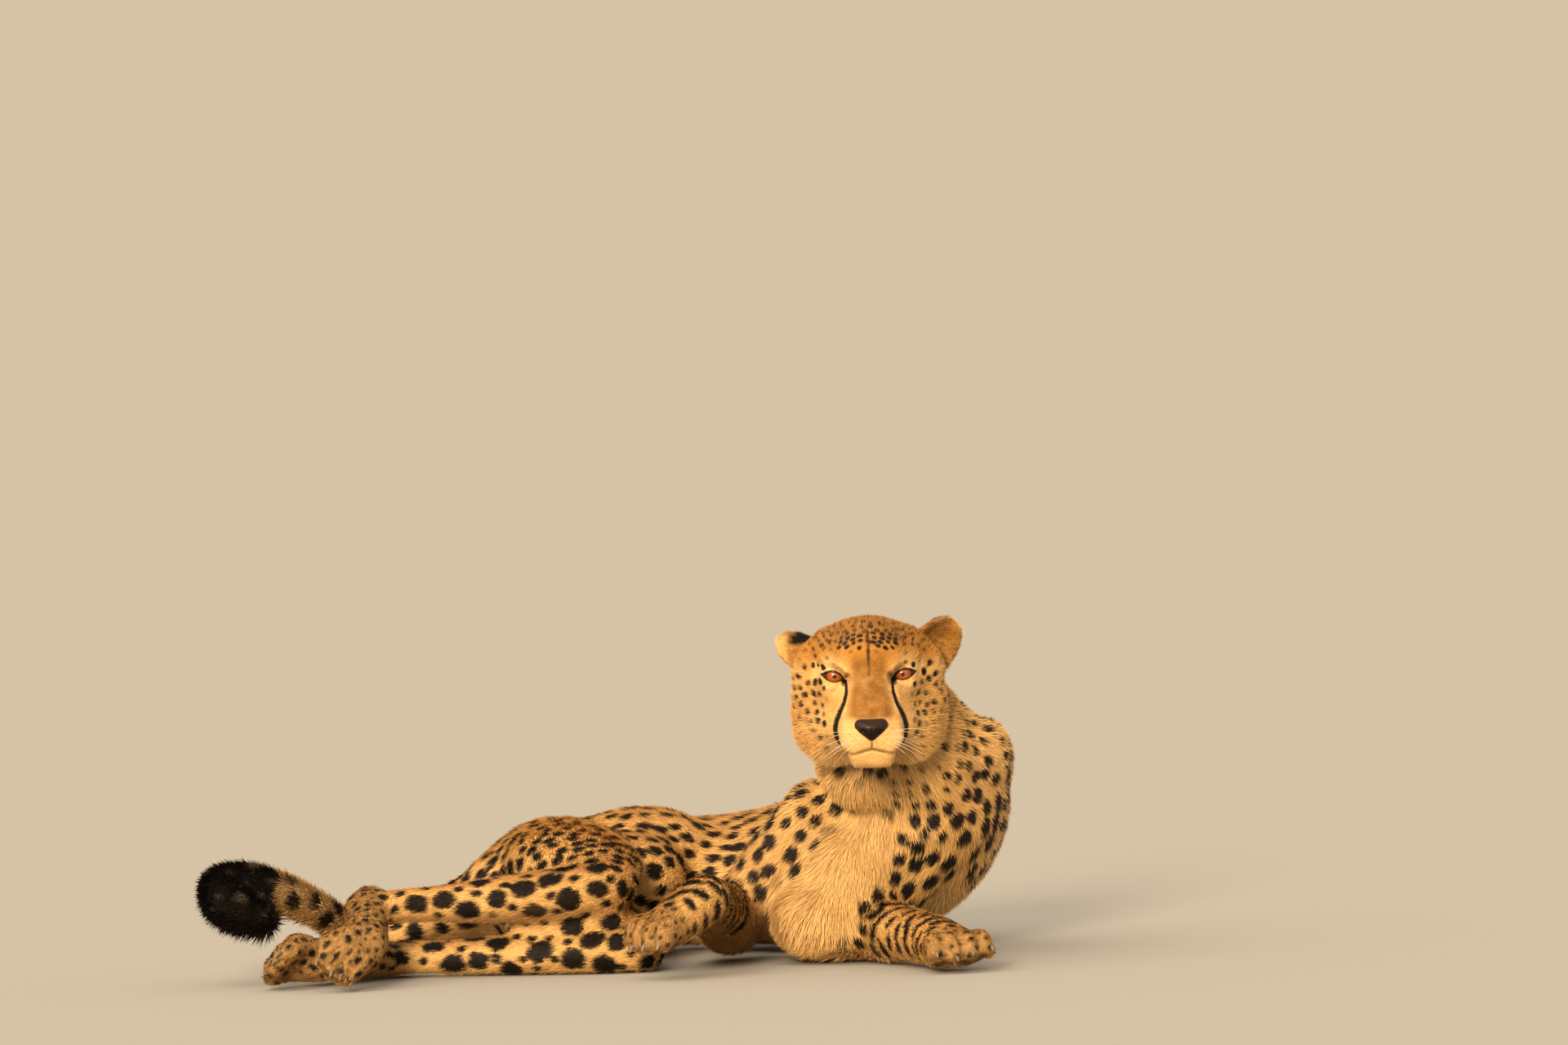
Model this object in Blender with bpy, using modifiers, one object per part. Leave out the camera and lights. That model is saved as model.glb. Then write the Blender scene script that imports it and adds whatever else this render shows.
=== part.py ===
"""Cheetah resting on its left hip with the forebody propped up: a life-size, still museum model.

The flesh is modelled whole. Limbs, trunk, neck and tail are lofted tubes through the joints, muscles
are ellipsoids, and a voxel remesh fuses them. A floor cut makes the flats that the animal lies on,
and thin knife cuts at the joints part the body into its named pieces.

Metres, +Z up. +X runs from the tail end to the head end, and the animal looks along -Y.
"""

import math
from dataclasses import dataclass

import bmesh
import bpy
from mathutils import Matrix, Vector

# ---------------------------------------------------------------- driving sizes
GAP = 0.0003  # clearance left between neighbouring solids
BODY_VOXEL = 0.006  # grain of the body before the face and paws are added
SKIN_VOXEL = 0.0032  # grain of the finished flesh
FLESH_TRIANGLES = 4450
CRUMB_VOLUME = 2e-6  # loose bits smaller than this are offcuts of the knives

# The skeleton. Right limbs are the upper ones, because the animal lies on its left side.
HIP_RIGHT = Vector((-0.050, 0.215, 0.116))
KNEE_RIGHT = Vector((0.007, 0.012, 0.085))
HOCK_RIGHT = Vector((-0.240, -0.010, 0.076))
BALL_RIGHT = Vector((-0.244, -0.108, 0.045))
HIND_TOES_RIGHT = Vector((-0.282, -0.149, 0.029))

HIP_LEFT = Vector((-0.058, 0.215, 0.040))
KNEE_LEFT = Vector((0.038, 0.000, 0.022))
HOCK_LEFT = Vector((-0.226, 0.039, 0.019))
BALL_LEFT = Vector((-0.299, -0.053, 0.027))
HIND_TOES_LEFT = Vector((-0.336, -0.099, 0.0275))

SHOULDER_RIGHT = Vector((0.230, 0.060, 0.156))
ELBOW_RIGHT = Vector((0.132, 0.118, 0.040))
WRIST_RIGHT = Vector((0.106, -0.085, 0.079))
TOES_RIGHT = Vector((0.043, -0.132, 0.037))

SHOULDER_LEFT = Vector((0.366, 0.060, 0.140))
ELBOW_LEFT = Vector((0.264, 0.055, 0.038))
WRIST_LEFT = Vector((0.340, -0.105, 0.031))
TOES_LEFT = Vector((0.368, -0.182, 0.020))

# Three points of the plane between the right hind leg and the left one under it.
CROTCH_PLANE = (
    Vector((-0.040, 0.160, 0.072)),
    Vector((0.060, 0.000, 0.054)),
    Vector((-0.100, 0.010, 0.0505)),
)

EYE_MIDDLE = Vector((0.2824, -0.112, 0.3037))
EYE_SPACING = 0.070
EYE_RADIUS = 0.0155
HEAD_PITCH = math.radians(-6)  # nose down
HEAD_YAW = math.radians(0.5)
EAR_THICKNESS = 0.0042

UP = Vector((0, 0, 1))
AWAY = Vector((0, 1, 0))

# Coat and bare-skin finishes: base colour, roughness.
FINISHES = {
    "coat": ((0.72, 0.42, 0.14, 1), 0.85),
    "pale_coat": ((0.85, 0.66, 0.38, 1), 0.88),
    "dark_coat": ((0.05, 0.035, 0.03, 1), 0.85),
    "eye": ((0.55, 0.20, 0.03, 1), 0.08),
    "nose_pad": ((0.02, 0.015, 0.015, 1), 0.45),
}


# ---------------------------------------------------------------- scene helpers
def clear_scene():
    """Empties the scene of its objects."""
    for obj in list(bpy.data.objects):
        bpy.data.objects.remove(obj, do_unlink=True)


def make_collection(name, shown):
    """A collection under the scene's root."""
    made = bpy.data.collections.new(name)
    bpy.context.scene.collection.children.link(made)
    made.hide_render = not shown
    return made


def make_finish(name):
    """A Principled material of the colour and roughness in FINISHES."""
    colour, roughness = FINISHES[name]
    material = bpy.data.materials.new(name)
    material.use_nodes = True
    shader = material.node_tree.nodes["Principled BSDF"]
    shader.inputs["Base Color"].default_value = colour
    shader.inputs["Roughness"].default_value = roughness
    shader.inputs["Metallic"].default_value = 0.0
    return material


def to_object(name, bm, collection):
    """Turns a bmesh into an object of the collection, with its faces pointing out."""
    bmesh.ops.recalc_face_normals(bm, faces=bm.faces)
    if collection.hide_render:
        name = f"{collection.name}_{name}"
    mesh = bpy.data.meshes.new(name)
    bm.to_mesh(mesh)
    bm.free()
    obj = bpy.data.objects.new(name, mesh)
    collection.objects.link(obj)
    if collection.hide_render:
        obj.hide_render = True
        obj.display_type = "WIRE"
    return obj


def settle(obj):
    """Applies the object's modifiers to its mesh."""
    graph = bpy.context.evaluated_depsgraph_get()
    finished = bpy.data.meshes.new_from_object(obj.evaluated_get(graph))
    obj.modifiers.clear()
    obj.data = finished
    return obj


def joined(name, sources, collection):
    """One object holding a copy of every source mesh. All of them sit at the origin."""
    bm = bmesh.new()
    for source in sources:
        bm.from_mesh(source.data)
    return to_object(name, bm, collection)


def boolean(obj, cutter, operation):
    """Cuts or joins with the exact solver, and applies the result."""
    modifier = obj.modifiers.new(operation.title(), "BOOLEAN")
    modifier.operation = operation
    modifier.solver = "EXACT"
    modifier.object = cutter
    return settle(obj)


# ---------------------------------------------------------------- clay forms
@dataclass
class Ring:
    """One cross-section of a loft: its centre, the way its top faces and its half sizes."""

    centre: Vector
    up: Vector
    side: float
    top: float
    bottom: float

    def blend(self, others, weights):
        """The weighted sum of this ring and the others."""
        rings = [self, *others]
        return Ring(
            sum((r.centre * w for r, w in zip(rings, weights)), Vector()),
            sum((r.up * w for r, w in zip(rings, weights)), Vector()),
            sum(r.side * w for r, w in zip(rings, weights)),
            sum(r.top * w for r, w in zip(rings, weights)),
            sum(r.bottom * w for r, w in zip(rings, weights)),
        )


def ring(centre, up, side, top, bottom=None):
    """A Ring with a unit up vector. The bottom is as deep as the top unless it is given."""
    return Ring(Vector(centre), Vector(up).normalized(), side, top, top if bottom is None else bottom)


def catmull_rom(t):
    """Weights of the four rings around a span, at t from 0 to 1 along it."""
    return (
        0.5 * (-t + 2 * t * t - t**3),
        0.5 * (2 - 5 * t * t + 3 * t**3),
        0.5 * (t + 4 * t * t - 3 * t**3),
        0.5 * (-t * t + t**3),
    )


def smooth_rings(keys, steps=4):
    """Rings read from a smooth curve through the key rings."""
    made = []
    for i in range(len(keys) - 1):
        before, after = keys[max(i - 1, 0)], keys[min(i + 2, len(keys) - 1)]
        for k in range(steps):
            made.append(before.blend([keys[i], keys[i + 1], after], catmull_rom(k / steps)))
    return [*made, keys[-1]]


def loft(name, keys, collection, sides=24, dome=0.7):
    """A closed tube through the key rings, with a dome at each end that is dome times as deep as wide."""
    rings = smooth_rings(keys)
    bm = bmesh.new()
    loops = []

    def add_loop(item, tangent, shrink, shift):
        across = tangent.cross(item.up).normalized()
        up = across.cross(tangent).normalized()
        points = []
        for k in range(sides):
            angle = 2 * math.pi * k / sides
            height = item.top if math.sin(angle) > 0 else item.bottom
            offset = across * (item.side * math.cos(angle)) + up * (height * math.sin(angle))
            points.append(bm.verts.new(item.centre + tangent * shift + offset * shrink))
        loops.append(points)

    def tangent_at(i):
        return (rings[min(i + 1, len(rings) - 1)].centre - rings[max(i - 1, 0)].centre).normalized()

    dome_angles = [math.radians(a) for a in (72, 48, 24)]
    first, last = rings[0], rings[-1]
    for angle in dome_angles:
        add_loop(first, tangent_at(0), math.cos(angle), -math.sin(angle) * dome * first.side)
    for i, item in enumerate(rings):
        add_loop(item, tangent_at(i), 1.0, 0.0)
    for angle in reversed(dome_angles):
        add_loop(last, tangent_at(len(rings) - 1), math.cos(angle), math.sin(angle) * dome * last.side)

    for low, high in zip(loops, loops[1:]):
        for k in range(sides):
            bm.faces.new((low[k], low[(k + 1) % sides], high[(k + 1) % sides], high[k]))
    for end in (loops[0], loops[-1]):
        bm.faces.new(end)
    return to_object(name, bm, collection)


def ball(name, centre, radii, axes, collection):
    """An ellipsoid. axes is a matrix whose columns are the directions of the three radii."""
    bm = bmesh.new()
    bmesh.ops.create_uvsphere(bm, u_segments=24, v_segments=14, radius=1.0)
    place = Matrix.Translation(centre) @ axes.to_4x4() @ Matrix.Diagonal((*radii, 1.0))
    bmesh.ops.transform(bm, matrix=place, verts=bm.verts)
    return to_object(name, bm, collection)


def axes_along(direction, up):
    """Columns: across, along the direction, and the part of up square to it."""
    along = Vector(direction).normalized()
    across = along.cross(Vector(up)).normalized()
    return Matrix((across, along, across.cross(along))).transposed()


def fuse(name, sources, voxel, relax, collection):
    """Joins overlapping forms into one mass, and relaxes the creases between them."""
    mass = joined(name, sources, collection)
    remesh = mass.modifiers.new("Remesh", "REMESH")
    remesh.mode = "VOXEL"
    remesh.voxel_size = voxel
    smooth = mass.modifiers.new("Smooth", "SMOOTH")
    smooth.factor = 0.5
    smooth.iterations = relax
    return settle(mass)


# ---------------------------------------------------------------- trunk and neck
def trunk_clay(clay):
    """The trunk, which curves away from the viewer and back, and the neck that rises from it."""
    trunk = loft(
        "trunk",
        [
            ring((-0.112, 0.176, 0.080), (-0.60, 0.80, 0.00), 0.040, 0.040),
            ring((-0.068, 0.216, 0.078), (-0.60, 0.80, 0.00), 0.068, 0.070),
            ring((0.005, 0.264, 0.078), (-0.40, 0.92, 0.05), 0.068, 0.070, 0.074),
            ring((0.095, 0.290, 0.073), (0.00, 1.00, 0.15), 0.068, 0.070, 0.084),
            ring((0.178, 0.280, 0.078), (0.25, 0.93, 0.30), 0.070, 0.082, 0.100),
            ring((0.250, 0.236, 0.093), (0.50, 0.72, 0.45), 0.080, 0.096, 0.118),
            ring((0.311, 0.168, 0.118), (0.64, 0.45, 0.62), 0.090, 0.108, 0.124),
            ring((0.330, 0.100, 0.146), (0.68, 0.32, 0.66), 0.088, 0.108, 0.110),
            ring((0.322, 0.048, 0.180), (0.66, 0.38, 0.66), 0.076, 0.090, 0.086),
        ],
        clay,
        sides=32,
    )
    neck = loft(
        "neck",
        [
            ring((0.325, 0.085, 0.165), (0.62, 0.45, 0.62), 0.080, 0.098, 0.080),
            ring((0.324, 0.035, 0.205), (0.58, 0.52, 0.60), 0.074, 0.086, 0.072),
            ring((0.308, -0.005, 0.246), (0.35, 0.70, 0.60), 0.068, 0.070, 0.066),
            ring((0.290, -0.040, 0.275), (0.10, 0.80, 0.60), 0.064, 0.056, 0.060),
        ],
        clay,
    )
    slanted = axes_along((0.10, -0.85, 0.50), (0.66, 0.35, 0.66))
    upright = Matrix.Identity(3)
    breast = ball("breast", Vector((0.270, 0.055, 0.100)), (0.062, 0.066, 0.072), slanted, clay)
    brisket = ball("brisket", Vector((0.235, 0.135, 0.060)), (0.068, 0.075, 0.062), upright, clay)
    withers = ball("withers", Vector((0.386, 0.092, 0.188)), (0.042, 0.095, 0.050), slanted, clay)
    ruff = ball("ruff", Vector((0.272, -0.005, 0.206)), (0.050, 0.052, 0.046), upright, clay)
    keel = ball("keel", Vector((0.236, 0.034, 0.048)), (0.064, 0.056, 0.048), upright, clay)
    flank = ball("flank", Vector((0.036, 0.192, 0.084)), (0.055, 0.056, 0.050), upright, clay)
    croup = ball("croup", Vector((0.040, 0.255, 0.105)), (0.086, 0.060, 0.052), upright, clay)
    dock = ball("dock", Vector((-0.098, 0.216, 0.034)), (0.040, 0.030, 0.034), upright, clay)
    return [trunk, neck, breast, brisket, withers, ruff, keel, flank, croup, dock]


# ---------------------------------------------------------------- limbs
def hind_leg_clay(name, hip, knee, hock, tilt, clay):
    """Thigh and shank of one hind leg. tilt is the side of the leg that faces up."""
    thigh_way = knee - hip
    thigh = loft(
        f"thigh_{name}",
        [
            ring(hip, tilt, 0.062, 0.036),
            ring(hip + thigh_way * 0.30, tilt, 0.073, 0.039, 0.036),
            ring(hip + thigh_way * 0.65, tilt, 0.060, 0.037, 0.031),
            ring(hip + thigh_way * 0.96, tilt, 0.036, 0.030, 0.028),
        ],
        clay,
    )
    shank_way = hock - knee
    shank = loft(
        f"shank_{name}",
        [
            ring(knee, tilt, 0.034, 0.030, 0.029),
            ring(knee + shank_way * 0.16, tilt, 0.040, 0.029, 0.029),
            ring(knee + shank_way * 0.38, tilt, 0.035, 0.026, 0.027),
            ring(knee + shank_way * 0.60, tilt, 0.026, 0.022, 0.024),
            ring(knee + shank_way * 0.82, tilt, 0.020, 0.020, 0.020),
            ring(knee + shank_way * 1.00, tilt, 0.022, 0.020, 0.020),
        ],
        clay,
    )
    return [thigh, shank]


def hind_foot_clay(name, hock, foot_ball, toes, tilt, across, clay):
    """Heel, metatarsus and toes of one hind foot. across points from toe to toe."""
    way = foot_ball - hock
    heel = hock - way.normalized() * 0.026
    metatarsus = loft(
        f"metatarsus_{name}",
        [
            ring(heel, tilt, 0.018, 0.017),
            ring(hock, tilt, 0.027, 0.021),
            ring(hock + way * 0.35, tilt, 0.024, 0.022),
            ring(hock + way * 0.75, tilt, 0.025, 0.023),
            ring(foot_ball, tilt, 0.027, 0.025),
        ],
        clay,
    )
    return [metatarsus, *paw_clay(name, foot_ball, toes, across, 0.024, clay)]


def paw_clay(name, root, tip, across, half_width, clay):
    """Four arched toes side by side, with the pad beneath. across points from toe to toe."""
    way = tip - root
    across = (across - way.normalized() * across.dot(way.normalized())).normalized()
    sole = across.cross(way).normalized()
    if sole.z > 0.3:
        sole = -sole
    forms = []
    for k, (place, reach) in enumerate(((-0.95, 0.80), (-0.33, 1.0), (0.33, 1.0), (0.95, 0.84))):
        base = root + across * (half_width * place * 0.72)
        end = root + way * reach + across * (half_width * place * 0.92)
        middle = base.lerp(end, 0.55) - sole * 0.008
        forms.append(
            loft(
                f"toe_{name}_{k}",
                [
                    ring(base, across, 0.0155, 0.0105),
                    ring(middle, across, 0.0165, 0.0108),
                    ring(end, across, 0.0125, 0.0100),
                ],
                clay,
                sides=14,
                dome=0.8,
            )
        )
    return forms


def foreleg_clay(name, shoulder, elbow, wrist, tilt, clay):
    """Shoulder, upper arm and forearm of one foreleg."""
    arm_way, forearm_way = elbow - shoulder, wrist - elbow
    arm = loft(
        f"arm_{name}",
        [
            ring(shoulder, tilt, 0.046, 0.040),
            ring(shoulder + arm_way * 0.45, tilt, 0.045, 0.040),
            ring(shoulder + arm_way * 0.95, tilt, 0.036, 0.033),
        ],
        clay,
    )
    forearm = loft(
        f"forearm_{name}",
        [
            ring(elbow, tilt, 0.037, 0.036),
            ring(elbow + forearm_way * 0.30, tilt, 0.036, 0.035),
            ring(elbow + forearm_way * 0.65, tilt, 0.030, 0.030),
            ring(wrist, tilt, 0.030, 0.028),
        ],
        clay,
    )
    return [arm, forearm]


def forepaw_clay(name, wrist, toes, across, clay):
    """The paw beyond the wrist."""
    way = toes - wrist
    palm = loft(
        f"palm_{name}",
        [
            ring(wrist, across, 0.027, 0.028),
            ring(wrist + way * 0.45, across, 0.024, 0.034),
            ring(wrist + way * 0.75, across, 0.020, 0.034),
        ],
        clay,
    )
    return [palm, *paw_clay(f"fore_{name}", wrist + way * 0.62, toes, across, 0.034, clay)]


def tail_clay(clay):
    """The tail swings behind the hind legs, rises past the feet and folds its brush back on itself."""
    stations = (
        ((-0.112, 0.182, 0.080), 0.032),
        ((-0.150, 0.212, 0.054), 0.034),
        ((-0.190, 0.245, 0.036), 0.025),
        ((-0.238, 0.250, 0.023), 0.0205),
        ((-0.270, 0.205, 0.024), 0.020),
        ((-0.270, 0.140, 0.036), 0.020),
        ((-0.276, 0.086, 0.056), 0.0205),
        ((-0.304, 0.058, 0.078), 0.022),
        ((-0.346, 0.044, 0.097), 0.025),
        ((-0.380, 0.022, 0.103), 0.027),
        ((-0.390, -0.008, 0.096), 0.028),
        ((-0.368, -0.026, 0.080), 0.026),
        ((-0.340, -0.028, 0.064), 0.017),
    )
    rings = [ring(centre, (0, 0.3, 1), radius, radius) for centre, radius in stations]
    return [loft("tail", rings, clay, sides=18)]


# ---------------------------------------------------------------- head
def head_axes():
    """Columns: the animal's left, up and forward for the head."""
    turn = Matrix.Rotation(HEAD_YAW, 3, "Z") @ Matrix.Rotation(-HEAD_PITCH, 3, "X")
    return Matrix((turn @ Vector((1, 0, 0)), turn @ UP, turn @ -AWAY)).transposed()


def head_point(side, up, forward):
    """A point given from the middle between the eyes, along the head's own axes."""
    return EYE_MIDDLE + head_axes() @ Vector((side, up, forward))


def head_ball(name, place, radii, clay):
    """An ellipsoid set square to the head. radii run sideways, up and forward."""
    return ball(name, head_point(*place), radii, head_axes(), clay)


def mirrored_balls(name, place, radii, clay):
    """The same ellipsoid on both sides of the head."""
    side, up, forward = place
    return [
        head_ball(f"{name}_left", (side, up, forward), radii, clay),
        head_ball(f"{name}_right", (-side, up, forward), radii, clay),
    ]


def head_clay(clay):
    """Skull, cheeks, muzzle and chin, without ears and eyes."""
    axes = head_axes()
    up = axes @ Vector((0, 1, 0))
    profile = (
        # forward, top line, bottom line, half width
        (-0.112, 0.028, -0.064, 0.052),
        (-0.085, 0.046, -0.085, 0.068),
        (-0.056, 0.056, -0.096, 0.074),
        (-0.028, 0.052, -0.097, 0.067),
        (-0.006, 0.041, -0.093, 0.054),
        (0.014, 0.019, -0.091, 0.042),
        (0.034, -0.008, -0.091, 0.037),
        (0.052, -0.025, -0.092, 0.035),
        (0.067, -0.037, -0.090, 0.031),
    )
    skull = loft(
        "skull",
        [
            ring(head_point(0, (top + bottom) / 2, forward), up, half_width, (top - bottom) / 2)
            for forward, top, bottom, half_width in profile
        ],
        clay,
        sides=28,
        dome=0.25,
    )
    masses = [
        skull,
        *mirrored_balls("crown", (0.026, 0.012, -0.050), (0.042, 0.036, 0.046), clay),
        *mirrored_balls("cheek", (0.045, -0.036, -0.046), (0.037, 0.050, 0.040), clay),
        *mirrored_balls("jowl", (0.036, -0.060, -0.026), (0.036, 0.035, 0.044), clay),
        *mirrored_balls("ruff", (0.046, -0.058, -0.040), (0.032, 0.034, 0.036), clay),
        *mirrored_balls("temple", (0.049, -0.002, -0.046), (0.032, 0.032, 0.030), clay),
        *mirrored_balls("cheek_front", (0.030, -0.046, 0.010), (0.020, 0.030, 0.026), clay),
        *mirrored_balls("brow", (0.034, 0.015, -0.008), (0.022, 0.012, 0.014), clay),
        *mirrored_balls("whisker_pad", (0.0185, -0.059, 0.055), (0.0200, 0.0180, 0.021), clay),
        *mirrored_balls("chin", (0.012, -0.079, 0.046), (0.020, 0.012, 0.020), clay),
    ]
    return [fuse("head", masses, SKIN_VOXEL, 9, clay)]


def eye_centre(sign):
    """The middle of an eyeball. sign is 1 for the left eye."""
    return head_point(sign * EYE_SPACING / 2, 0.0, -0.008)


def eye_opening(sign, cutters):
    """The almond-shaped hollow between the lids."""
    return head_ball(f"opening_{sign}", (sign * EYE_SPACING / 2, 0.0, 0.014), (0.0145, 0.0085, 0.018), cutters)


def make_eye(name, sign, collection, grow=0.0):
    """An eyeball."""
    bm = bmesh.new()
    bmesh.ops.create_uvsphere(bm, u_segments=14, v_segments=8, radius=EYE_RADIUS + grow)
    place = Matrix.Translation(eye_centre(sign)) @ head_axes().to_4x4()
    bmesh.ops.transform(bm, matrix=place, verts=bm.verts)
    return to_object(name, bm, collection)


def make_nose(name, collection, grow=0.0):
    """The bare pad at the tip of the muzzle, wider above than below."""
    bm = bmesh.new()
    bmesh.ops.create_uvsphere(bm, u_segments=14, v_segments=8, radius=1.0)
    for vert in bm.verts:
        vert.co.x *= 0.72 + 0.28 * vert.co.y
    radii = (0.0235 + grow, 0.0125 + grow, 0.0120 + grow)
    place = Matrix.Translation(head_point(0, -0.0455, 0.068)) @ head_axes().to_4x4()
    bmesh.ops.transform(bm, matrix=place @ Matrix.Diagonal((*radii, 1.0)), verts=bm.verts)
    return to_object(name, bm, collection)


@dataclass
class EarPose:
    """Where an ear grows and how it is carried: its root, the way it points and the way its cup faces."""

    root: tuple
    point: tuple
    face: tuple


EARS = {
    "ear_left": (1, EarPose((0.063, 0.007, -0.058), (0.60, 0.80, -0.10), (0.35, -0.10, 0.92))),
    "ear_right": (-1, EarPose((0.053, 0.004, -0.058), (0.78, 0.56, -0.28), (0.35, -0.60, -0.60))),
}


def make_ear(name, collection):
    """A rounded, cupped ear of even thickness."""
    sign, pose = EARS[name]
    axes = head_axes()
    root = head_point(sign * pose.root[0], pose.root[1], pose.root[2])
    point = (axes @ Vector((sign * pose.point[0], *pose.point[1:]))).normalized()
    face = axes @ Vector((sign * pose.face[0], *pose.face[1:]))
    face = (face - point * face.dot(point)).normalized()
    across = point.cross(face).normalized()
    height, half_width, cup = 0.046, 0.025, 0.017
    rows, columns = 6, 8
    bm = bmesh.new()
    grid = []
    for i in range(rows):
        climb = i / (rows - 1)
        width = half_width * math.sqrt(max(1 - (climb * 1.02 - 0.12) ** 2.6, 0.02)) if climb > 0.12 else half_width
        row = []
        for j in range(columns):
            angle = math.radians(-78 + 156 * j / (columns - 1))
            depth = cup * math.cos(angle) * (1 - 0.72 * climb)
            lift = height * climb * (1 - 0.10 * math.sin(angle) ** 2)
            row.append(bm.verts.new(root + across * (width * math.sin(angle)) - face * depth + point * lift))
        grid.append(row)
    for low, high in zip(grid, grid[1:]):
        for j in range(columns - 1):
            bm.faces.new((low[j], low[j + 1], high[j + 1], high[j]))
    ear = to_object(name, bm, collection)
    shell = ear.modifiers.new("Shell", "SOLIDIFY")
    shell.thickness = EAR_THICKNESS
    shell.offset = 0.0
    return settle(ear)


# ---------------------------------------------------------------- parting the body
@dataclass
class Knife:
    """A thin cut square to way, through centre. It reaches across and up by its half sizes."""

    centre: Vector
    way: Vector
    across: float
    high: float
    up: tuple = (0, 0, 1)


def between(start, end, share):
    """A point on the way from start to end, and the direction of that way."""
    return start.lerp(end, share), end - start


def sever(piece, knife, halves, cutters):
    """Parts a piece with a cut as thin as the gap.

    halves gives, for each part that is left, its name and a point near its middle.
    """
    bm = bmesh.new()
    bmesh.ops.create_cube(bm, size=2.0)
    axes = axes_along(knife.way, knife.up)
    place = Matrix.Translation(knife.centre) @ axes.to_4x4()
    size = Matrix.Diagonal((knife.across, GAP / 2, knife.high, 1.0))
    bmesh.ops.transform(bm, matrix=place @ size, verts=bm.verts)
    boolean(piece, to_object("knife", bm, cutters), "DIFFERENCE")
    return share_out(piece, halves, cutters)


def loose_parts(obj):
    """The connected parts of a mesh, each as a set of faces of a new bmesh, and that bmesh."""
    bm = bmesh.new()
    bm.from_mesh(obj.data)
    bm.faces.ensure_lookup_table()
    unseen = set(bm.faces)
    parts = []
    while unseen:
        front = [unseen.pop()]
        part = set(front)
        while front:
            face = front.pop()
            for edge in face.edges:
                for other in edge.link_faces:
                    if other in unseen:
                        unseen.discard(other)
                        part.add(other)
                        front.append(other)
        parts.append(part)
    return bm, parts


def share_out(piece, halves, collection):
    """Splits a mesh into its connected parts, and names each part after the nearest point in halves."""
    bm, parts = loose_parts(piece)
    found = {}
    for part in parts:
        copy = bmesh.new()
        places = {}
        for face in part:
            for vert in face.verts:
                if vert not in places:
                    places[vert] = copy.verts.new(vert.co)
            copy.faces.new([places[vert] for vert in face.verts])
        volume = abs(copy.calc_volume())
        middle = sum((v.co for v in copy.verts), Vector()) / len(copy.verts)
        name = min(halves, key=lambda n: (halves[n] - middle).length)
        if volume < CRUMB_VOLUME or volume < found.get(name, (0, None))[0]:
            copy.free()
            continue
        found[name] = (volume, copy)
    bm.free()
    if len(found) != len(halves):
        raise ValueError(f"cut left {sorted(found)} of {sorted(halves)}")
    return {name: to_object(name, copy, collection) for name, (_, copy) in found.items()}


def crook(top, middle, low):
    """A point in the crook of a bent joint, and the way through the plane that halves the bend."""
    to_top, to_low = (top - middle).normalized(), (low - middle).normalized()
    return middle + (to_top + to_low).normalized() * 0.030, to_low - to_top


def part_leg(leg, name, stations, cutters):
    """Cuts a leg at two joints. stations are hip, knee, hock and ball, or the same on a foreleg."""
    top, middle, low, end = stations
    pieces = sever(
        leg,
        Knife(*crook(top, middle, low), 0.130, 0.080),
        {f"thigh_{name}": top.lerp(middle, 0.7), "rest": low},
        cutters,
    )
    lower, way = between(middle, low, 0.93)
    pieces |= sever(
        pieces.pop("rest"),
        Knife(lower, way, 0.060, 0.045),
        {f"shank_{name}": middle.lerp(low, 0.5), f"hindfoot_{name}": end},
        cutters,
    )
    return pieces


def part_body(flesh, cutters):
    """Cuts the flesh into the named lengths of tail, trunk, neck, head and legs."""
    body = {}
    cuts = sever(
        flesh,
        Knife(Vector((-0.156, 0.217, 0.057)), Vector((-0.72, 0.58, -0.38)), 0.046, 0.046),
        {"tail": Vector((-0.28, 0.14, 0.06)), "rest": Vector((0.1, 0.1, 0.1))},
        cutters,
    )
    body |= part_tail(cuts["tail"], cutters)
    cuts = sever(
        cuts["rest"],
        Knife(Vector((0.182, 0.270, 0.080)), Vector((0.90, -0.42, 0.12)), 0.118, 0.120),
        {"fore": Vector((0.28, 0.0, 0.18)), "hind": Vector((-0.08, 0.08, 0.06))},
        cutters,
    )
    body |= part_hindquarters(cuts["hind"], cutters)
    body |= part_forequarters(cuts["fore"], cutters)
    return body


def part_tail(tail, cutters):
    """Cuts the tail into four nearly straight lengths."""
    body = {}
    plan = (
        ((-0.222, 0.252, 0.026), (-0.90, 0.20, -0.20), "tail_root", (-0.17, 0.22, 0.05), (-0.30, 0.08, 0.06)),
        ((-0.271, 0.160, 0.032), (0.00, -0.95, 0.20), "tail_bend", (-0.26, 0.23, 0.024), (-0.33, 0.02, 0.08)),
        ((-0.338, 0.047, 0.093), (-0.85, -0.38, 0.40), "tail_rise", (-0.29, 0.08, 0.06), (-0.37, 0.00, 0.09)),
    )
    rest = tail
    for centre, way, name, near, far in plan:
        cuts = sever(
            rest,
            Knife(Vector(centre), Vector(way), 0.036, 0.040),
            {name: Vector(near), "rest": Vector(far)},
            cutters,
        )
        body[name] = cuts[name]
        rest = cuts["rest"]
    body["tail_brush"] = rest
    return body


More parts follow.
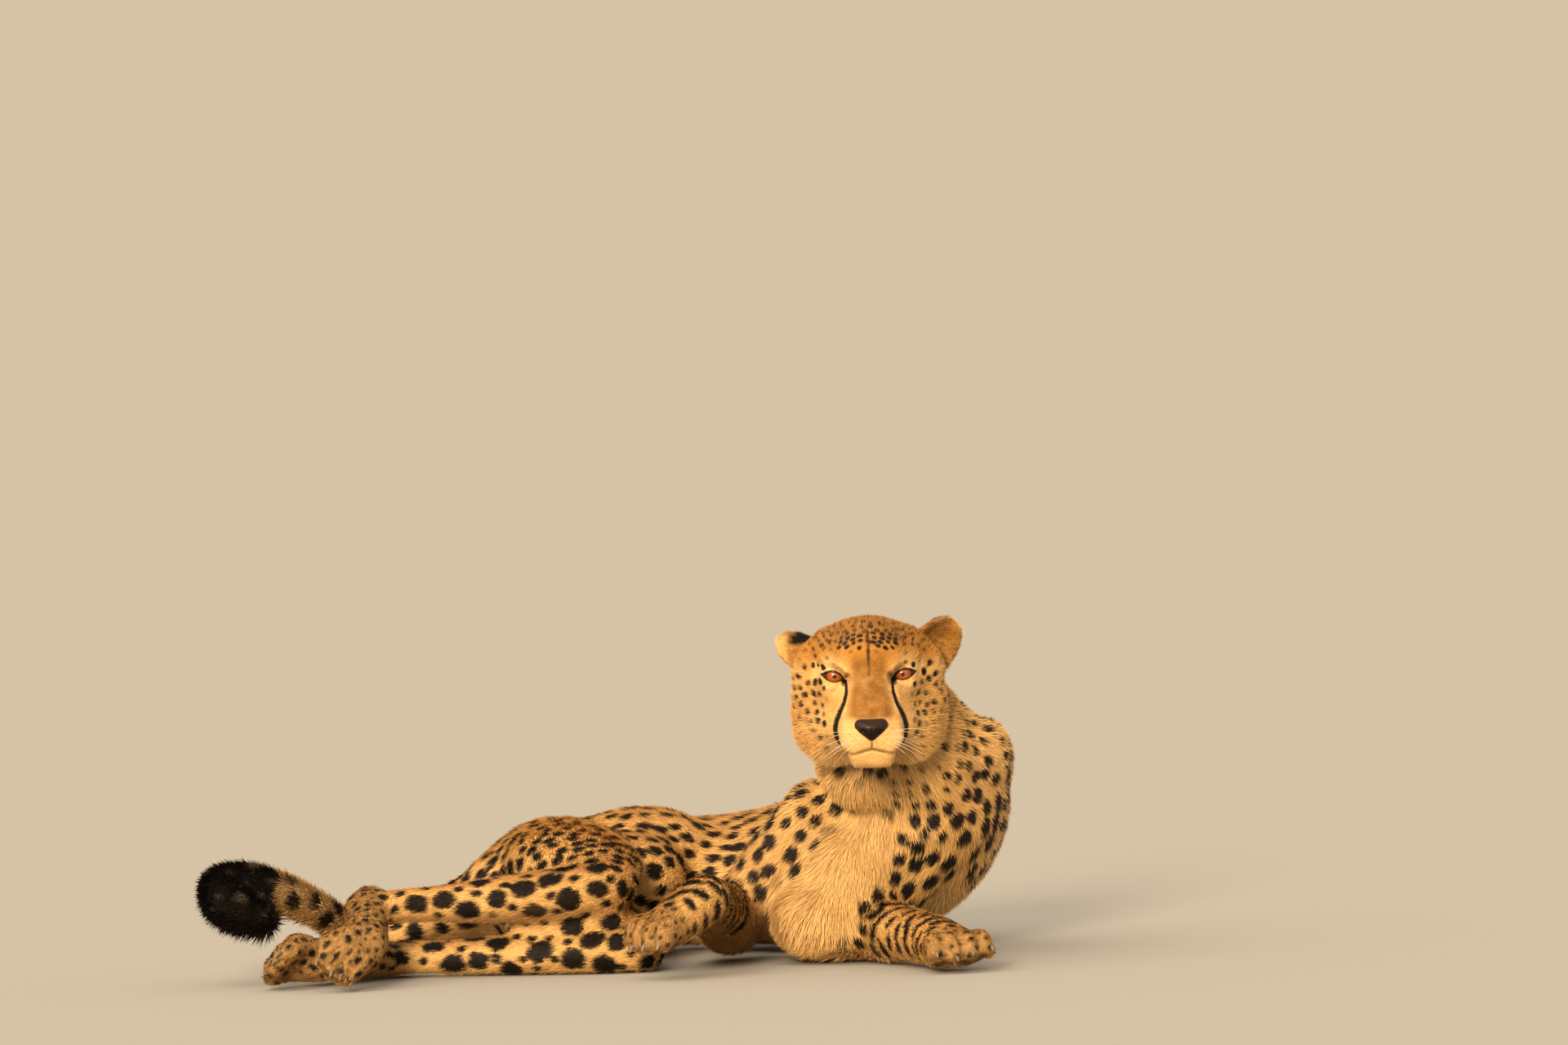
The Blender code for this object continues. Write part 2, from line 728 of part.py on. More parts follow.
def part_hindquarters(hind, cutters):
    """Cuts off both hind legs near the hip, and the loin from the rump."""
    hips = (HIP_RIGHT + HIP_LEFT) / 2
    knees = (KNEE_RIGHT + KNEE_LEFT) / 2
    centre, way = between(hips, knees, 0.30)
    cuts = sever(
        hind,
        Knife(centre, Vector((way.x, way.y, 0)), 0.137, 0.120),
        {"rear": Vector((0.03, 0.26, 0.08)), "legs": Vector((-0.10, 0.03, 0.05))},
        cutters,
    )
    at_hip, at_knee, at_calf = CROTCH_PLANE
    way = (at_knee - at_hip).cross(at_calf - at_hip)
    cuts |= sever(
        cuts["legs"],
        Knife((at_hip + at_knee + at_calf) / 3, way, 0.178, 0.150, tuple(at_knee - at_hip)),
        {"leg_right": Vector((-0.10, 0.03, 0.09)), "leg_left": Vector((-0.10, 0.03, 0.02))},
        cutters,
    )
    body = sever(
        cuts["rear"],
        Knife(Vector((0.020, 0.262, 0.080)), Vector((0.93, 0.37, 0.0)), 0.120, 0.120),
        {"rump": Vector((-0.06, 0.22, 0.08)), "loin": Vector((0.10, 0.27, 0.08))},
        cutters,
    )
    stations = {
        "right": (HIP_RIGHT, KNEE_RIGHT, HOCK_RIGHT, BALL_RIGHT),
        "left": (HIP_LEFT, KNEE_LEFT, HOCK_LEFT, BALL_LEFT),
    }
    for name, places in stations.items():
        body |= part_leg(cuts[f"leg_{name}"], name, places, cutters)
    return body


def part_forequarters(fore, cutters):
    """Cuts off the forearms, the paws, the head and the neck. What is left is the chest."""
    body = {}
    rest = fore
    plans = {
        "right": (
            Knife(*crook(SHOULDER_RIGHT, ELBOW_RIGHT, WRIST_RIGHT), 0.060, 0.085),
            (ELBOW_RIGHT, WRIST_RIGHT, TOES_RIGHT),
        ),
        "left": (
            Knife(*between(ELBOW_LEFT, WRIST_LEFT, 0.46), 0.052, 0.047),
            (ELBOW_LEFT, WRIST_LEFT, TOES_LEFT),
        ),
    }
    for name, (knife, (elbow, wrist, toes)) in plans.items():
        cuts = sever(
            rest,
            knife,
            {"rest": Vector((0.29, 0.03, 0.18)), "foreleg": wrist},
            cutters,
        )
        rest = cuts["rest"]
        centre, way = between(elbow, wrist, 0.96)
        body |= sever(
            cuts["foreleg"],
            Knife(centre, way, 0.060, 0.060),
            {f"forearm_{name}": elbow.lerp(wrist, 0.7), f"forepaw_{name}": wrist.lerp(toes, 0.7)},
            cutters,
        )
    cuts = sever(
        rest,
        Knife(Vector((0.298, -0.008, 0.246)), Vector((-0.15, -0.80, 0.58)), 0.140, 0.140),
        {"rest": Vector((0.30, 0.10, 0.12)), "head": Vector((0.285, -0.07, 0.29))},
        cutters,
    )
    body["head"] = cuts["head"]
    return body | sever(
        cuts["rest"],
        Knife(Vector((0.318, 0.034, 0.216)), Vector((-0.10, -0.74, 0.67)), 0.180, 0.220),
        {"chest": Vector((0.28, 0.12, 0.10)), "neck": Vector((0.32, 0.03, 0.21))},
        cutters,
    )


# ---------------------------------------------------------------- assembly
def make_clay(clay):
    """Every form of the flesh, fused into one mass."""
    lying = Vector((0, -0.15, 1))
    masses = [
        *trunk_clay(clay),
        *hind_leg_clay("right", HIP_RIGHT, KNEE_RIGHT, HOCK_RIGHT, lying, clay),
        *hind_leg_clay("left", HIP_LEFT, KNEE_LEFT, HOCK_LEFT, UP, clay),
        *foreleg_clay("right", SHOULDER_RIGHT, ELBOW_RIGHT, WRIST_RIGHT, UP, clay),
        *foreleg_clay("left", SHOULDER_LEFT, ELBOW_LEFT, WRIST_LEFT, UP, clay),
        *tail_clay(clay),
    ]
    body = fuse("body", masses, BODY_VOXEL, 9, clay)
    details = [
        body,
        *head_clay(clay),
        *hind_foot_clay("right", HOCK_RIGHT, BALL_RIGHT, HIND_TOES_RIGHT, UP, Vector((0.35, -0.30, -0.80)), clay),
        *hind_foot_clay("left", HOCK_LEFT, BALL_LEFT, HIND_TOES_LEFT, UP, Vector((-0.50, 0.30, -0.62)), clay),
        *forepaw_clay("right", WRIST_RIGHT, TOES_RIGHT, Vector((0.9, -0.3, 0.3)), clay),
        *forepaw_clay("left", WRIST_LEFT, TOES_LEFT, Vector((1, 0.2, 0)), clay),
    ]
    return fuse("flesh", details, SKIN_VOXEL, 4, clay)


def thin_out(obj, triangles):
    """Reduces the mesh to about this many triangles."""
    obj.data.calc_loop_triangles()
    reduce = obj.modifiers.new("Decimate", "DECIMATE")
    reduce.ratio = triangles / len(obj.data.loop_triangles)
    reduce.use_collapse_triangulate = True
    return settle(obj)


def cut_floor(obj, cutters):
    """Takes off all that is below the floor, which leaves the flats that the animal rests on."""
    bm = bmesh.new()
    bmesh.ops.create_cube(bm, size=2.0)
    bmesh.ops.transform(bm, matrix=Matrix.Translation((0, 0, -1.0)), verts=bm.verts)
    return boolean(obj, to_object("floor", bm, cutters), "DIFFERENCE")


def grown(obj, by, collection):
    """A copy of the mesh, pushed out along its normals."""
    bm = bmesh.new()
    bm.from_mesh(obj.data)
    bm.normal_update()
    for vert, push in [(v, v.normal * by) for v in bm.verts]:
        vert.co += push
    return to_object("grown", bm, collection)


def largest_part(obj, collection):
    """The part of the mesh with the most volume, on its own."""
    return share_out(obj, {"body": Vector()}, collection)["body"]


FINISH_OF = {
    "nose": "nose_pad",
    "eye_left": "eye",
    "eye_right": "eye",
    "chest": "pale_coat",
    "tail_brush": "dark_coat",
}


def show(name, node, collection):
    """Adds a finished node to the shown collection, under its own name and finish."""
    mesh = node.data.copy()
    mesh.name = name
    mesh.materials.clear()
    finish = FINISH_OF.get(name, "coat")
    made = bpy.data.materials.get(finish) or make_finish(finish)
    mesh.materials.append(made)
    bpy.data.objects.remove(node, do_unlink=True)
    made_object = bpy.data.objects.new(name, mesh)
    collection.objects.link(made_object)


def main():
    """Builds the cheetah."""
    clear_scene()
    clay = make_collection("clay", shown=False)
    shown = make_collection("cheetah", shown=True)

    flesh = cut_floor(thin_out(make_clay(clay), FLESH_TRIANGLES), clay)
    nodes = part_body(flesh, clay)

    head = nodes["head"]
    head_outside = grown(head, 2 * GAP, clay)
    for name in EARS:
        ear = boolean(make_ear(name, clay), head_outside, "DIFFERENCE")
        nodes[name] = largest_part(ear, clay)
    for name, sign in (("eye_left", 1), ("eye_right", -1)):
        boolean(head, make_eye("socket", sign, clay, grow=GAP), "DIFFERENCE")
        boolean(head, eye_opening(sign, clay), "DIFFERENCE")
        nodes[name] = make_eye(name, sign, clay)
    boolean(head, make_nose("nose_socket", clay, grow=GAP), "DIFFERENCE")
    nodes["head"] = largest_part(head, clay)
    nodes["nose"] = make_nose("nose", clay)

    corners = [v.co for node in nodes.values() for v in node.data.vertices]
    low = Vector([min(c[i] for c in corners) for i in range(3)])
    high = Vector([max(c[i] for c in corners) for i in range(3)])
    home = Matrix.Translation((-(low.x + high.x) / 2, -(low.y + high.y) / 2, -low.z))
    for name, node in nodes.items():
        node.data.transform(home)
        show(name, node, shown)


main()
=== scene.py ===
"""A lying cheetah, life size: one skin, a coat of tufts, eyes, nose, claws and whiskers.

The solid frame gives every place and size. The skin is one closed surface drawn through the
frame's flesh and sunk by the depth of the coat, and the coat grows back out to the frame's outline.
"""

import logging
import math
from dataclasses import dataclass, field, fields
from enum import Enum
from itertools import product

import bmesh
import bpy
import numpy as np
from mathutils import Matrix, Vector
from mathutils.bvhtree import BVHTree
from mathutils.kdtree import KDTree


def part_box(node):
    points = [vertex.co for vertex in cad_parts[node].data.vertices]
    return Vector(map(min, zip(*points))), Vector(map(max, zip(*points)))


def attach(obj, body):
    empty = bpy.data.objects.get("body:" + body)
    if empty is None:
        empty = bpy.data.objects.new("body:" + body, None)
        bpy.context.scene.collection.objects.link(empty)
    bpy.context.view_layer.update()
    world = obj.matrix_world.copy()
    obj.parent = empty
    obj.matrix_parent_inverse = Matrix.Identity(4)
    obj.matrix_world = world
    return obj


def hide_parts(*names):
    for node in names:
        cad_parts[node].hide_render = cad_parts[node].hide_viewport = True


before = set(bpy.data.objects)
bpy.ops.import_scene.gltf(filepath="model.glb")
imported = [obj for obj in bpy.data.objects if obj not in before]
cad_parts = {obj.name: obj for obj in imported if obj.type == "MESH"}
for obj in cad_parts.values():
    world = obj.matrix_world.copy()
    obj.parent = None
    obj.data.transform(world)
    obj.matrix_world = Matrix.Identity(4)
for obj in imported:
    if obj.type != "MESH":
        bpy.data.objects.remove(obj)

LOG = logging.getLogger("cheetah")
Array = np.ndarray
Material = bpy.types.Material
Mesh = bpy.types.Mesh
Object = bpy.types.Object
Socket = bpy.types.NodeSocket
Pair = tuple[float, float]
Three = tuple[float, float, float]
BODY = "root"
SEED = 11
CENTIMETRE = 0.01


# ------------ small sums
def unit(vectors: Array) -> Array:
    """Vectors of length one along the given ones."""
    return vectors / np.maximum(np.linalg.norm(vectors, axis=-1, keepdims=True), 1e-12)


def ease(low: float, high: float, values: Array) -> Array:
    """Rises smoothly from 0 at low to 1 at high, or falls where low is the larger."""
    share = np.clip((values - low) / (high - low), 0.0, 1.0)
    return share * share * (3.0 - 2.0 * share)


def blend(first: Array, second: Array, share: Array) -> Array:
    """Goes from first to second by a share for each row."""
    return first + (second - first) * share[:, None]


def layered(ground: Array, layers: tuple[tuple[Array, Array], ...]) -> Array:
    """Paints colours over one another.

    Args:
        ground: the colour of each place below them all.
        layers: each colour, from the lowest to the topmost, and its share at each place.

    Returns:
        A colour for each place.
    """
    for colour, share in layers:
        ground = blend(ground, np.atleast_2d(colour), np.clip(share, 0, 1))
    return ground


def paint(red: int, green: int, blue: int) -> Array:
    """A colour from the usual 0 to 255 scale, as the linear numbers that shaders take."""
    shade = np.array([red, green, blue], float) / 255.0
    return np.where(shade <= 0.04045, shade / 12.92, ((shade + 0.055) / 1.055) ** 2.4)


def ripple(points: Array, size: float, seed: int) -> Array:
    """Smooth noise from 0 to 1.

    Args:
        points: places in metres.
        size: length of one swell in metres.
        seed: picks another pattern.

    Returns:
        One number for each place.
    """
    place = points / size + 13.7 * seed
    cell = np.floor(place).astype(np.int64)
    share = place - cell
    share = share * share * (3.0 - 2.0 * share)
    total = np.zeros(len(points))
    for corner in np.ndindex(2, 2, 2):
        # Large primes scatter the values of neighbouring corners.
        spot = cell + np.array(corner)
        mixed = spot[:, 0] * 73856093 ^ spot[:, 1] * 19349663 ^ spot[:, 2] * 83492791
        mixed = (mixed & 0x7FFFFFFF) * 1103515245 + 12345
        value = ((mixed >> 9) & 0xFFFF) / 65535.0
        weight = np.prod(np.where(np.array(corner) == 1, share, 1.0 - share), axis=1)
        total += value * weight
    return total


def swell(points: Array, middle: Pair, size: Pair) -> Array:
    """A soft round hill of height one over places on a plane."""
    return np.exp(-(((points - np.array(middle)) / np.array(size)) ** 2).sum(axis=1))


def reach_to(points: Array, line: Array) -> tuple[Array, Array]:
    """How far points lie from a bent line.

    Args:
        points: places, two or three numbers each.
        line: the corners of the line.

    Returns:
        The distance of each place, and how far along the line its nearest spot is, from 0 to 1.
    """
    best = np.full(len(points), 1e9)
    along = np.zeros(len(points))
    pieces = len(line) - 1
    for number in range(pieces):
        start, stop = line[number], line[number + 1]
        run = stop - start
        share = np.clip((points - start) @ run / max(run @ run, 1e-12), 0.0, 1.0)
        gap = np.linalg.norm(points - (start + share[:, None] * run), axis=1)
        nearer = gap < best
        best = np.where(nearer, gap, best)
        along = np.where(nearer, (number + share) / pieces, along)
    return best, along


# ------------ meshes
def mesh_of(name: str, points: Array, faces: Array) -> Mesh:
    """A smooth mesh from arrays of points and of triangles or quads.

    Args:
        name: the mesh's name.
        points: its vertices.
        faces: the vertex numbers of each face.

    Returns:
        The mesh.
    """
    mesh = bpy.data.meshes.new(name)
    mesh.from_pydata(np.asarray(points).tolist(), [], np.asarray(faces).tolist())
    mesh.shade_smooth()
    mesh.update()
    return mesh


def stand(name: str, mesh: Mesh) -> Object:
    """Puts a mesh in the scene as an object at the origin.

    Args:
        name: the object's name.
        mesh: what it shows.

    Returns:
        The object.
    """
    made = bpy.data.objects.new(name, mesh)
    bpy.context.scene.collection.objects.link(made)
    return made


def settled(obj: Object) -> Mesh:
    """The plain mesh that an object's modifiers give."""
    seen = obj.evaluated_get(bpy.context.evaluated_depsgraph_get())
    return bpy.data.meshes.new_from_object(seen)


def discard(obj: Object) -> None:
    """Removes a helper object and its mesh.

    Args:
        obj: the helper.
    """
    mesh = obj.data
    bpy.data.objects.remove(obj, do_unlink=True)
    bpy.data.meshes.remove(mesh)


def points_of(mesh: Mesh) -> Array:
    """The places of a mesh's vertices.

    Args:
        mesh: any mesh.

    Returns:
        A row for each vertex.
    """
    found = np.empty(len(mesh.vertices) * 3)
    mesh.vertices.foreach_get("co", found)
    return found.reshape(-1, 3)


def triangles_of(mesh: Mesh) -> Array:
    """The corners of a mesh's triangles.

    Args:
        mesh: any mesh.

    Returns:
        A row of three vertex numbers for each triangle.
    """
    mesh.calc_loop_triangles()
    found = np.empty(len(mesh.loop_triangles) * 3, np.int32)
    mesh.loop_triangles.foreach_get("vertices", found)
    return found.reshape(-1, 3)


def store(mesh: Mesh, name: str, values: Array) -> None:
    """Stores a number, vector or colour for each vertex under a name.

    Args:
        mesh: the mesh that keeps them.
        name: the name to keep them under.
        values: a row for each vertex.
    """
    values = np.asarray(values, float)
    if values.ndim == 1:
        mesh.attributes.new(name, "FLOAT", "POINT").data.foreach_set("value", values)
        return
    if values.shape[1] == 4:
        made = mesh.attributes.new(name, "FLOAT_COLOR", "POINT")
        made.data.foreach_set("color", values.ravel())
        return
    made = mesh.attributes.new(name, "FLOAT_VECTOR", "POINT")
    made.data.foreach_set("vector", values.ravel())


def opaque(colours: Array) -> Array:
    """Colours with a fourth number of one."""
    return np.hstack([np.clip(colours, 0.0, 1.0), np.ones((len(colours), 1))])


def dress(obj: Object, finish: Material) -> Object:
    """Gives a piece its finish, and lets it ride on the body.

    Args:
        obj: the piece.
        finish: its material.

    Returns:
        The piece.
    """
    obj.data.materials.clear()
    obj.data.materials.append(finish)
    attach(obj, BODY)
    return obj


def sweep(path: Array, radii: Array, sides: int = 8, closed: bool = False) -> tuple[Array, Array]:
    """A tube along a path.

    Args:
        path: the middle of each ring.
        radii: the radius of each ring.
        sides: points in a ring.
        closed: joins the last ring to the first.

    Returns:
        Points and triangles, with capped ends where the tube is open.
    """
    ahead = np.roll(path, -1, 0) - np.roll(path, 1, 0)
    if not closed:
        ahead[0], ahead[-1] = path[1] - path[0], path[-1] - path[-2]
    ahead = unit(ahead)
    askew = [0.31, 0.52, 0.79]
    side = unit(np.cross(ahead[0], askew))
    rings = []
    for middle, onward, radius in zip(path, ahead, radii):
        side = unit(side - onward * (side @ onward))
        other = np.cross(onward, side)
        angles = np.arange(sides) * math.tau / sides
        spread = np.cos(angles)[:, None] * side + np.sin(angles)[:, None] * other
        rings.append(middle + spread * radius)
    points = np.vstack(rings)
    faces = []
    count = len(path)
    for number in range(count if closed else count - 1):
        low, high = number * sides, (number + 1) % count * sides
        for step in range(sides):
            after = (step + 1) % sides
            faces.append((low + step, low + after, high + after))
            faces.append((low + step, high + after, high + step))
    if not closed:
        points = np.vstack([points, path[0], path[-1]])
        first, last = len(points) - 2, len(points) - 1
        top = (count - 1) * sides
        for step in range(sides):
            after = (step + 1) % sides
            faces.append((first, after, step))
            faces.append((last, top + step, top + after))
    return points, np.array(faces)


def closed_mesh(name: str, points: Array, faces: Array,
                colours: Array | None = None) -> Mesh:
    """A smooth mesh with its poles merged and its faces turned out.

    Args:
        name: the mesh's name.
        points: its vertices.
        faces: the vertex numbers of each face.
        colours: a colour for each vertex.

    Returns:
        The mesh.
    """
    mesh = mesh_of(name, points, faces)
    if colours is not None:
        store(mesh, "tint", opaque(colours))
    built = bmesh.new()
    built.from_mesh(mesh)
    bmesh.ops.remove_doubles(built, verts=built.verts, dist=1e-6)
    bmesh.ops.recalc_face_normals(built, faces=built.faces)
    built.to_mesh(mesh)
    built.free()
    mesh.shade_smooth()
    return mesh


def pooled(shapes: list[tuple[Array, Array]]) -> tuple[Array, Array]:
    """Puts several shapes in one pair of arrays.

    Args:
        shapes: the points and faces of each.

    Returns:
        The points and faces of all.
    """
    points, faces, count = [], [], 0
    for place, corners in shapes:
        points.append(place)
        faces.append(corners + count)
        count += len(place)
    return np.vstack(points), np.vstack(faces)


# ------------ finishes
WHITE = (1.0, 1.0, 1.0)


class Maker:
    """Builds one procedural material, node by node."""

    def __init__(self, name: str) -> None:
        """Starts a material with a bare Principled shader.

        Args:
            name: the material's name.
        """
        self.material = bpy.data.materials.new(name)
        self.material.use_nodes = True
        self.tree = self.material.node_tree
        self.shader = self.tree.nodes["Principled BSDF"]

    def node(self, kind: str, **settings: object) -> bpy.types.Node:
        """Adds a node with settings.

        Args:
            kind: Blender's name for the kind of node.
            settings: its properties.

        Returns:
            The node.
        """
        made = self.tree.nodes.new(kind)
        for name, value in settings.items():
            setattr(made, name, value)
        return made

    def link(self, source: Socket, target: Socket) -> None:
        """Joins two sockets."""
        self.tree.links.new(source, target)

    def fix(self, **values: object) -> None:
        """Sets plain numbers on the shader's own sockets."""
        for name, value in values.items():
            self.shader.inputs[name.replace("_", " ")].default_value = value

    def stored(self, name: str) -> bpy.types.Node:
        """Reads a stored value."""
        return self.node("ShaderNodeAttribute", attribute_name=name)

    def grain(self, size: float, detail: float = 3.0) -> Socket:
        """Noise over the piece's own coordinates, with swells of a size in metres.

        Args:
            size: length of a swell.
            detail: how fine the smaller swells go.

        Returns:
            The noise, from 0 to 1.
        """
        place = self.node("ShaderNodeTexCoord")
        noise = self.node("ShaderNodeTexNoise")
        noise.inputs["Scale"].default_value = 1.0 / size
        noise.inputs["Detail"].default_value = detail
        self.link(place.outputs["Object"], noise.inputs["Vector"])
        return noise.outputs["Fac"]

    def ramp(self, source: Socket, low: tuple, high: tuple) -> Socket:
        """Turns a number into a colour between two.

        Args:
            source: the number.
            low: the colour at 0.3 and under.
            high: the colour at 0.7 and over.

        Returns:
            The colour.
        """
        made = self.node("ShaderNodeValToRGB")
        made.color_ramp.elements[0].position = 0.3
        made.color_ramp.elements[1].position = 0.7
        made.color_ramp.elements[0].color = (*low, 1)
        made.color_ramp.elements[1].color = (*high, 1)
        self.link(source, made.inputs["Fac"])
        return made.outputs["Color"]

    def multiply(self, first: Socket, second: Socket) -> Socket:
        """Multiplies two colours.

        Args:
            first: the one colour.
            second: the other.

        Returns:
            The product.
        """
        made = self.node("ShaderNodeMix", data_type="RGBA", blend_type="MULTIPLY")
        made.inputs["Factor"].default_value = 1.0
        self.link(first, made.inputs["A"])
        self.link(second, made.inputs["B"])
        return made.outputs["Result"]

    def mix(self, first: Socket, second: Socket, share: Socket) -> Socket:
        """Goes from one colour to another by a share.

        Args:
            first: the colour at a share of 0.
            second: the colour at a share of 1.
            share: the share.

        Returns:
            The mixed colour.
        """
        made = self.node("ShaderNodeMix", data_type="RGBA")
        self.link(share, made.inputs["Factor"])
        self.link(first, made.inputs["A"])
        self.link(second, made.inputs["B"])
        return made.outputs["Result"]

    def bump(self, height: Socket, depth: float, strength: float) -> None:
        """Roughens the surface by a height.

        Args:
            height: the height.
            depth: how far a height of one stands out, in metres.
            strength: how much of it shows.
        """
        made = self.node("ShaderNodeBump")
        made.inputs["Strength"].default_value = strength
        made.inputs["Distance"].default_value = depth
        self.link(height, made.inputs["Height"])
        self.link(made.outputs["Normal"], self.shader.inputs["Normal"])


@dataclass(frozen=True)
class FurFinish:
    """Dull hair that takes its colour from the markings, with painted shade that darkens it towards its
    root, deep in the coat.
    """

    name: str = "fur"
    roughness: float = 0.62
    gloss: float = 0.22
    root_shade: float = 0.52
    strand: float = 0.0016
    strand_shade: Three = (0.80, 0.78, 0.76)

    def make(self) -> Material:
        """Builds the material.

        Returns:
            The material.
        """
        maker = Maker(self.name)
        maker.fix(Roughness=self.roughness, Specular_IOR_Level=self.gloss)
        # Painted shade: each tuft darkens from its tip down to its root, as though shaded by the hair
        # around it.
        shade = maker.node("ShaderNodeMapRange")
        shade.inputs["To Min"].default_value = self.root_shade
        shade.inputs["To Max"].default_value = 1.0
        along = maker.stored("along").outputs["Fac"]
        maker.link(along, shade.inputs["Value"])
        hair = maker.mix(maker.stored("root_tint").outputs["Color"],
                         maker.stored("tint").outputs["Color"], along)
        mixed = maker.multiply(hair, shade.outputs["Result"])
        strand = maker.ramp(maker.grain(self.strand, 2.0), self.strand_shade, WHITE)
        maker.link(maker.multiply(mixed, strand), maker.shader.inputs["Base Color"])
        return maker.material


@dataclass(frozen=True)
class HideFinish:
    """The skin under the hair, with the same markings and a short napped bump."""

    name: str = "hide"
    roughness: float = 0.8
    gloss: float = 0.2
    nap: float = 0.0022
    nap_low: Three = (0.62, 0.58, 0.55)
    nap_high: Three = (0.92, 0.90, 0.88)
    relief_grain: float = 0.0018
    relief: float = 0.0008

    def make(self) -> Material:
        """Builds the material.

        Returns:
            The material.
        """
        maker = Maker(self.name)
        maker.fix(Roughness=self.roughness, Specular_IOR_Level=self.gloss)
        nap = maker.ramp(maker.grain(self.nap), self.nap_low, self.nap_high)
        mixed = maker.multiply(maker.stored("tint").outputs["Color"], nap)
        maker.link(mixed, maker.shader.inputs["Base Color"])
        maker.bump(maker.grain(self.relief_grain), self.relief, 0.6)
        return maker.material


@dataclass(frozen=True)
class WetFinish:
    """Wet or moist skin and eyes, coloured by stored values."""

    name: str
    roughness: float
    coat: float
    grain: float = 0.0008
    relief: float = 0.0
    gloss: float = 0.15
    coat_roughness: float = 0.04
    grain_shade: Three = (0.82, 0.82, 0.82)

    def make(self) -> Material:
        """Builds the material.

        Returns:
            The material.
        """
        maker = Maker(self.name)
        maker.fix(Roughness=self.roughness, Specular_IOR_Level=self.gloss, Coat_Weight=self.coat,
                  Coat_Roughness=self.coat_roughness)
        shade = maker.ramp(maker.grain(self.grain), self.grain_shade, WHITE)
        mixed = maker.multiply(maker.stored("tint").outputs["Color"], shade)
        maker.link(mixed, maker.shader.inputs["Base Color"])
        if self.relief:
            cells = maker.node("ShaderNodeTexVoronoi")
            cells.inputs["Scale"].default_value = 1.0 / self.grain
            place = maker.node("ShaderNodeTexCoord")
            maker.link(place.outputs["Object"], cells.inputs["Vector"])
            maker.bump(cells.outputs["Distance"], self.relief, 0.8)
        return maker.material


@dataclass(frozen=True)
class HornFinish:
    """Horn or stiff hair, streaked along its length."""

    name: str
    dark: Three
    light: Three
    roughness: float
    streak: float = 0.0018
    relief_grain: float = 0.0012
    relief: float = 0.0002

    def make(self) -> Material:
        """Builds the material.

        Returns:
            The material.
        """
        maker = Maker(self.name)
        maker.fix(Roughness=self.roughness, Specular_IOR_Level=0.5)
        streak = maker.ramp(maker.grain(self.streak), self.dark, self.light)
        maker.link(streak, maker.shader.inputs["Base Color"])
        maker.bump(maker.grain(self.relief_grain), self.relief, 0.4)
        return maker.material


# ------------ the body's parts
@dataclass(frozen=True)
class Zone:
    """How the coat grows on one part of the body. Lengths are in metres.

    Attributes:
        depth: how far the skin lies inside the tips of the coat.
        hair: length of a tuft.
        width: width of a tuft at its root.
        lift: the angle in degrees at which tufts stand off the skin.
        crowd: tufts on a square centimetre.
        spot: radius of a black spot.
        gap: distance between the middles of spots.
        stretch: a spot's length for its width, along the lie of the hair.
        ink: how black and sure the spots are, from 0 to 1.
    """

    depth: float
    hair: float
    width: float
    lift: float
    crowd: float
    spot: float
    gap: float
    stretch: float
    ink: float = 1.0


ZONES = {
    "head": Zone(0.0026, 0.0076, 0.0010, 20, 88, 0.0028, 0.0100, 1.2),
    "neck": Zone(0.0042, 0.0120, 0.0014, 18, 36, 0.0068, 0.0160, 1.5),
    "chest": Zone(0.0038, 0.0108, 0.0014, 18, 32, 0.0086, 0.0190, 1.3),
    "loin": Zone(0.0036, 0.0102, 0.0014, 17, 34, 0.0070, 0.0165, 1.6),
    "rump": Zone(0.0034, 0.0096, 0.0014, 16, 36, 0.0088, 0.0194, 1.3),
    "thigh_right": Zone(0.0032, 0.0092, 0.0013, 16, 38, 0.0096, 0.0215, 1.25),
    "thigh_left": Zone(0.0032, 0.0092, 0.0013, 16, 36, 0.0096, 0.0215, 1.25),
    "shank_right": Zone(0.0028, 0.0084, 0.0013, 15, 42, 0.0116, 0.0290, 1.3),
    "shank_left": Zone(0.0028, 0.0084, 0.0013, 15, 38, 0.0116, 0.0290, 1.3),
    "hindfoot_right": Zone(0.0020, 0.0062, 0.0011, 15, 54, 0.0042, 0.0140, 1.4, 0.95),
    "hindfoot_left": Zone(0.0020, 0.0062, 0.0011, 15, 54, 0.0042, 0.0140, 1.4, 0.95),
    "forearm_right": Zone(0.0026, 0.0080, 0.0013, 15, 46, 0.0078, 0.0180, 0.38),
    "forearm_left": Zone(0.0026, 0.0080, 0.0013, 15, 46, 0.0074, 0.0180, 0.38),
    "forepaw_right": Zone(0.0020, 0.0062, 0.0011, 15, 56, 0.0030, 0.0110, 1.0, 0.85),
    "forepaw_left": Zone(0.0020, 0.0062, 0.0011, 15, 56, 0.0030, 0.0110, 1.0, 0.85),
    "tail_root": Zone(0.0036, 0.0110, 0.0014, 16, 36, 0.0110, 0.0220, 1.3),
    "tail_bend": Zone(0.0036, 0.0110, 0.0014, 17, 36, 0.0084, 0.0215, 1.1),
    "tail_rise": Zone(0.0040, 0.0130, 0.0015, 18, 36, 0.0094, 0.0235, 0.7),
    "tail_brush": Zone(0.0050, 0.0165, 0.0018, 13, 44, 0.0080, 0.0250, 1.0),
    "ear_left": Zone(0.0008, 0.0060, 0.0008, 24, 150, 0.0030, 0.0500, 1.0, 0.0),
    "ear_right": Zone(0.0008, 0.0060, 0.0008, 24, 150, 0.0030, 0.0500, 1.0, 0.0),
}
NUMBER = {name: number for number, name in enumerate(ZONES)}
EARS = ("ear_left", "ear_right")
EYES = (("eye_left", 1), ("eye_right", -1))
FLESH = tuple(name for name in ZONES if name not in EARS)
FILLED = ("eye_left", "eye_right", "nose")
PAWS = (("forearm_right", "forepaw_right"), ("forearm_left", "forepaw_left"),
        ("shank_right", "hindfoot_right"), ("shank_left", "hindfoot_left"))

# A little more than the width of the cut between two nodes, in metres.
CUT = 0.0012
# The share of a node's points that lie nearer its root than its end does.
NEARER = 0.93
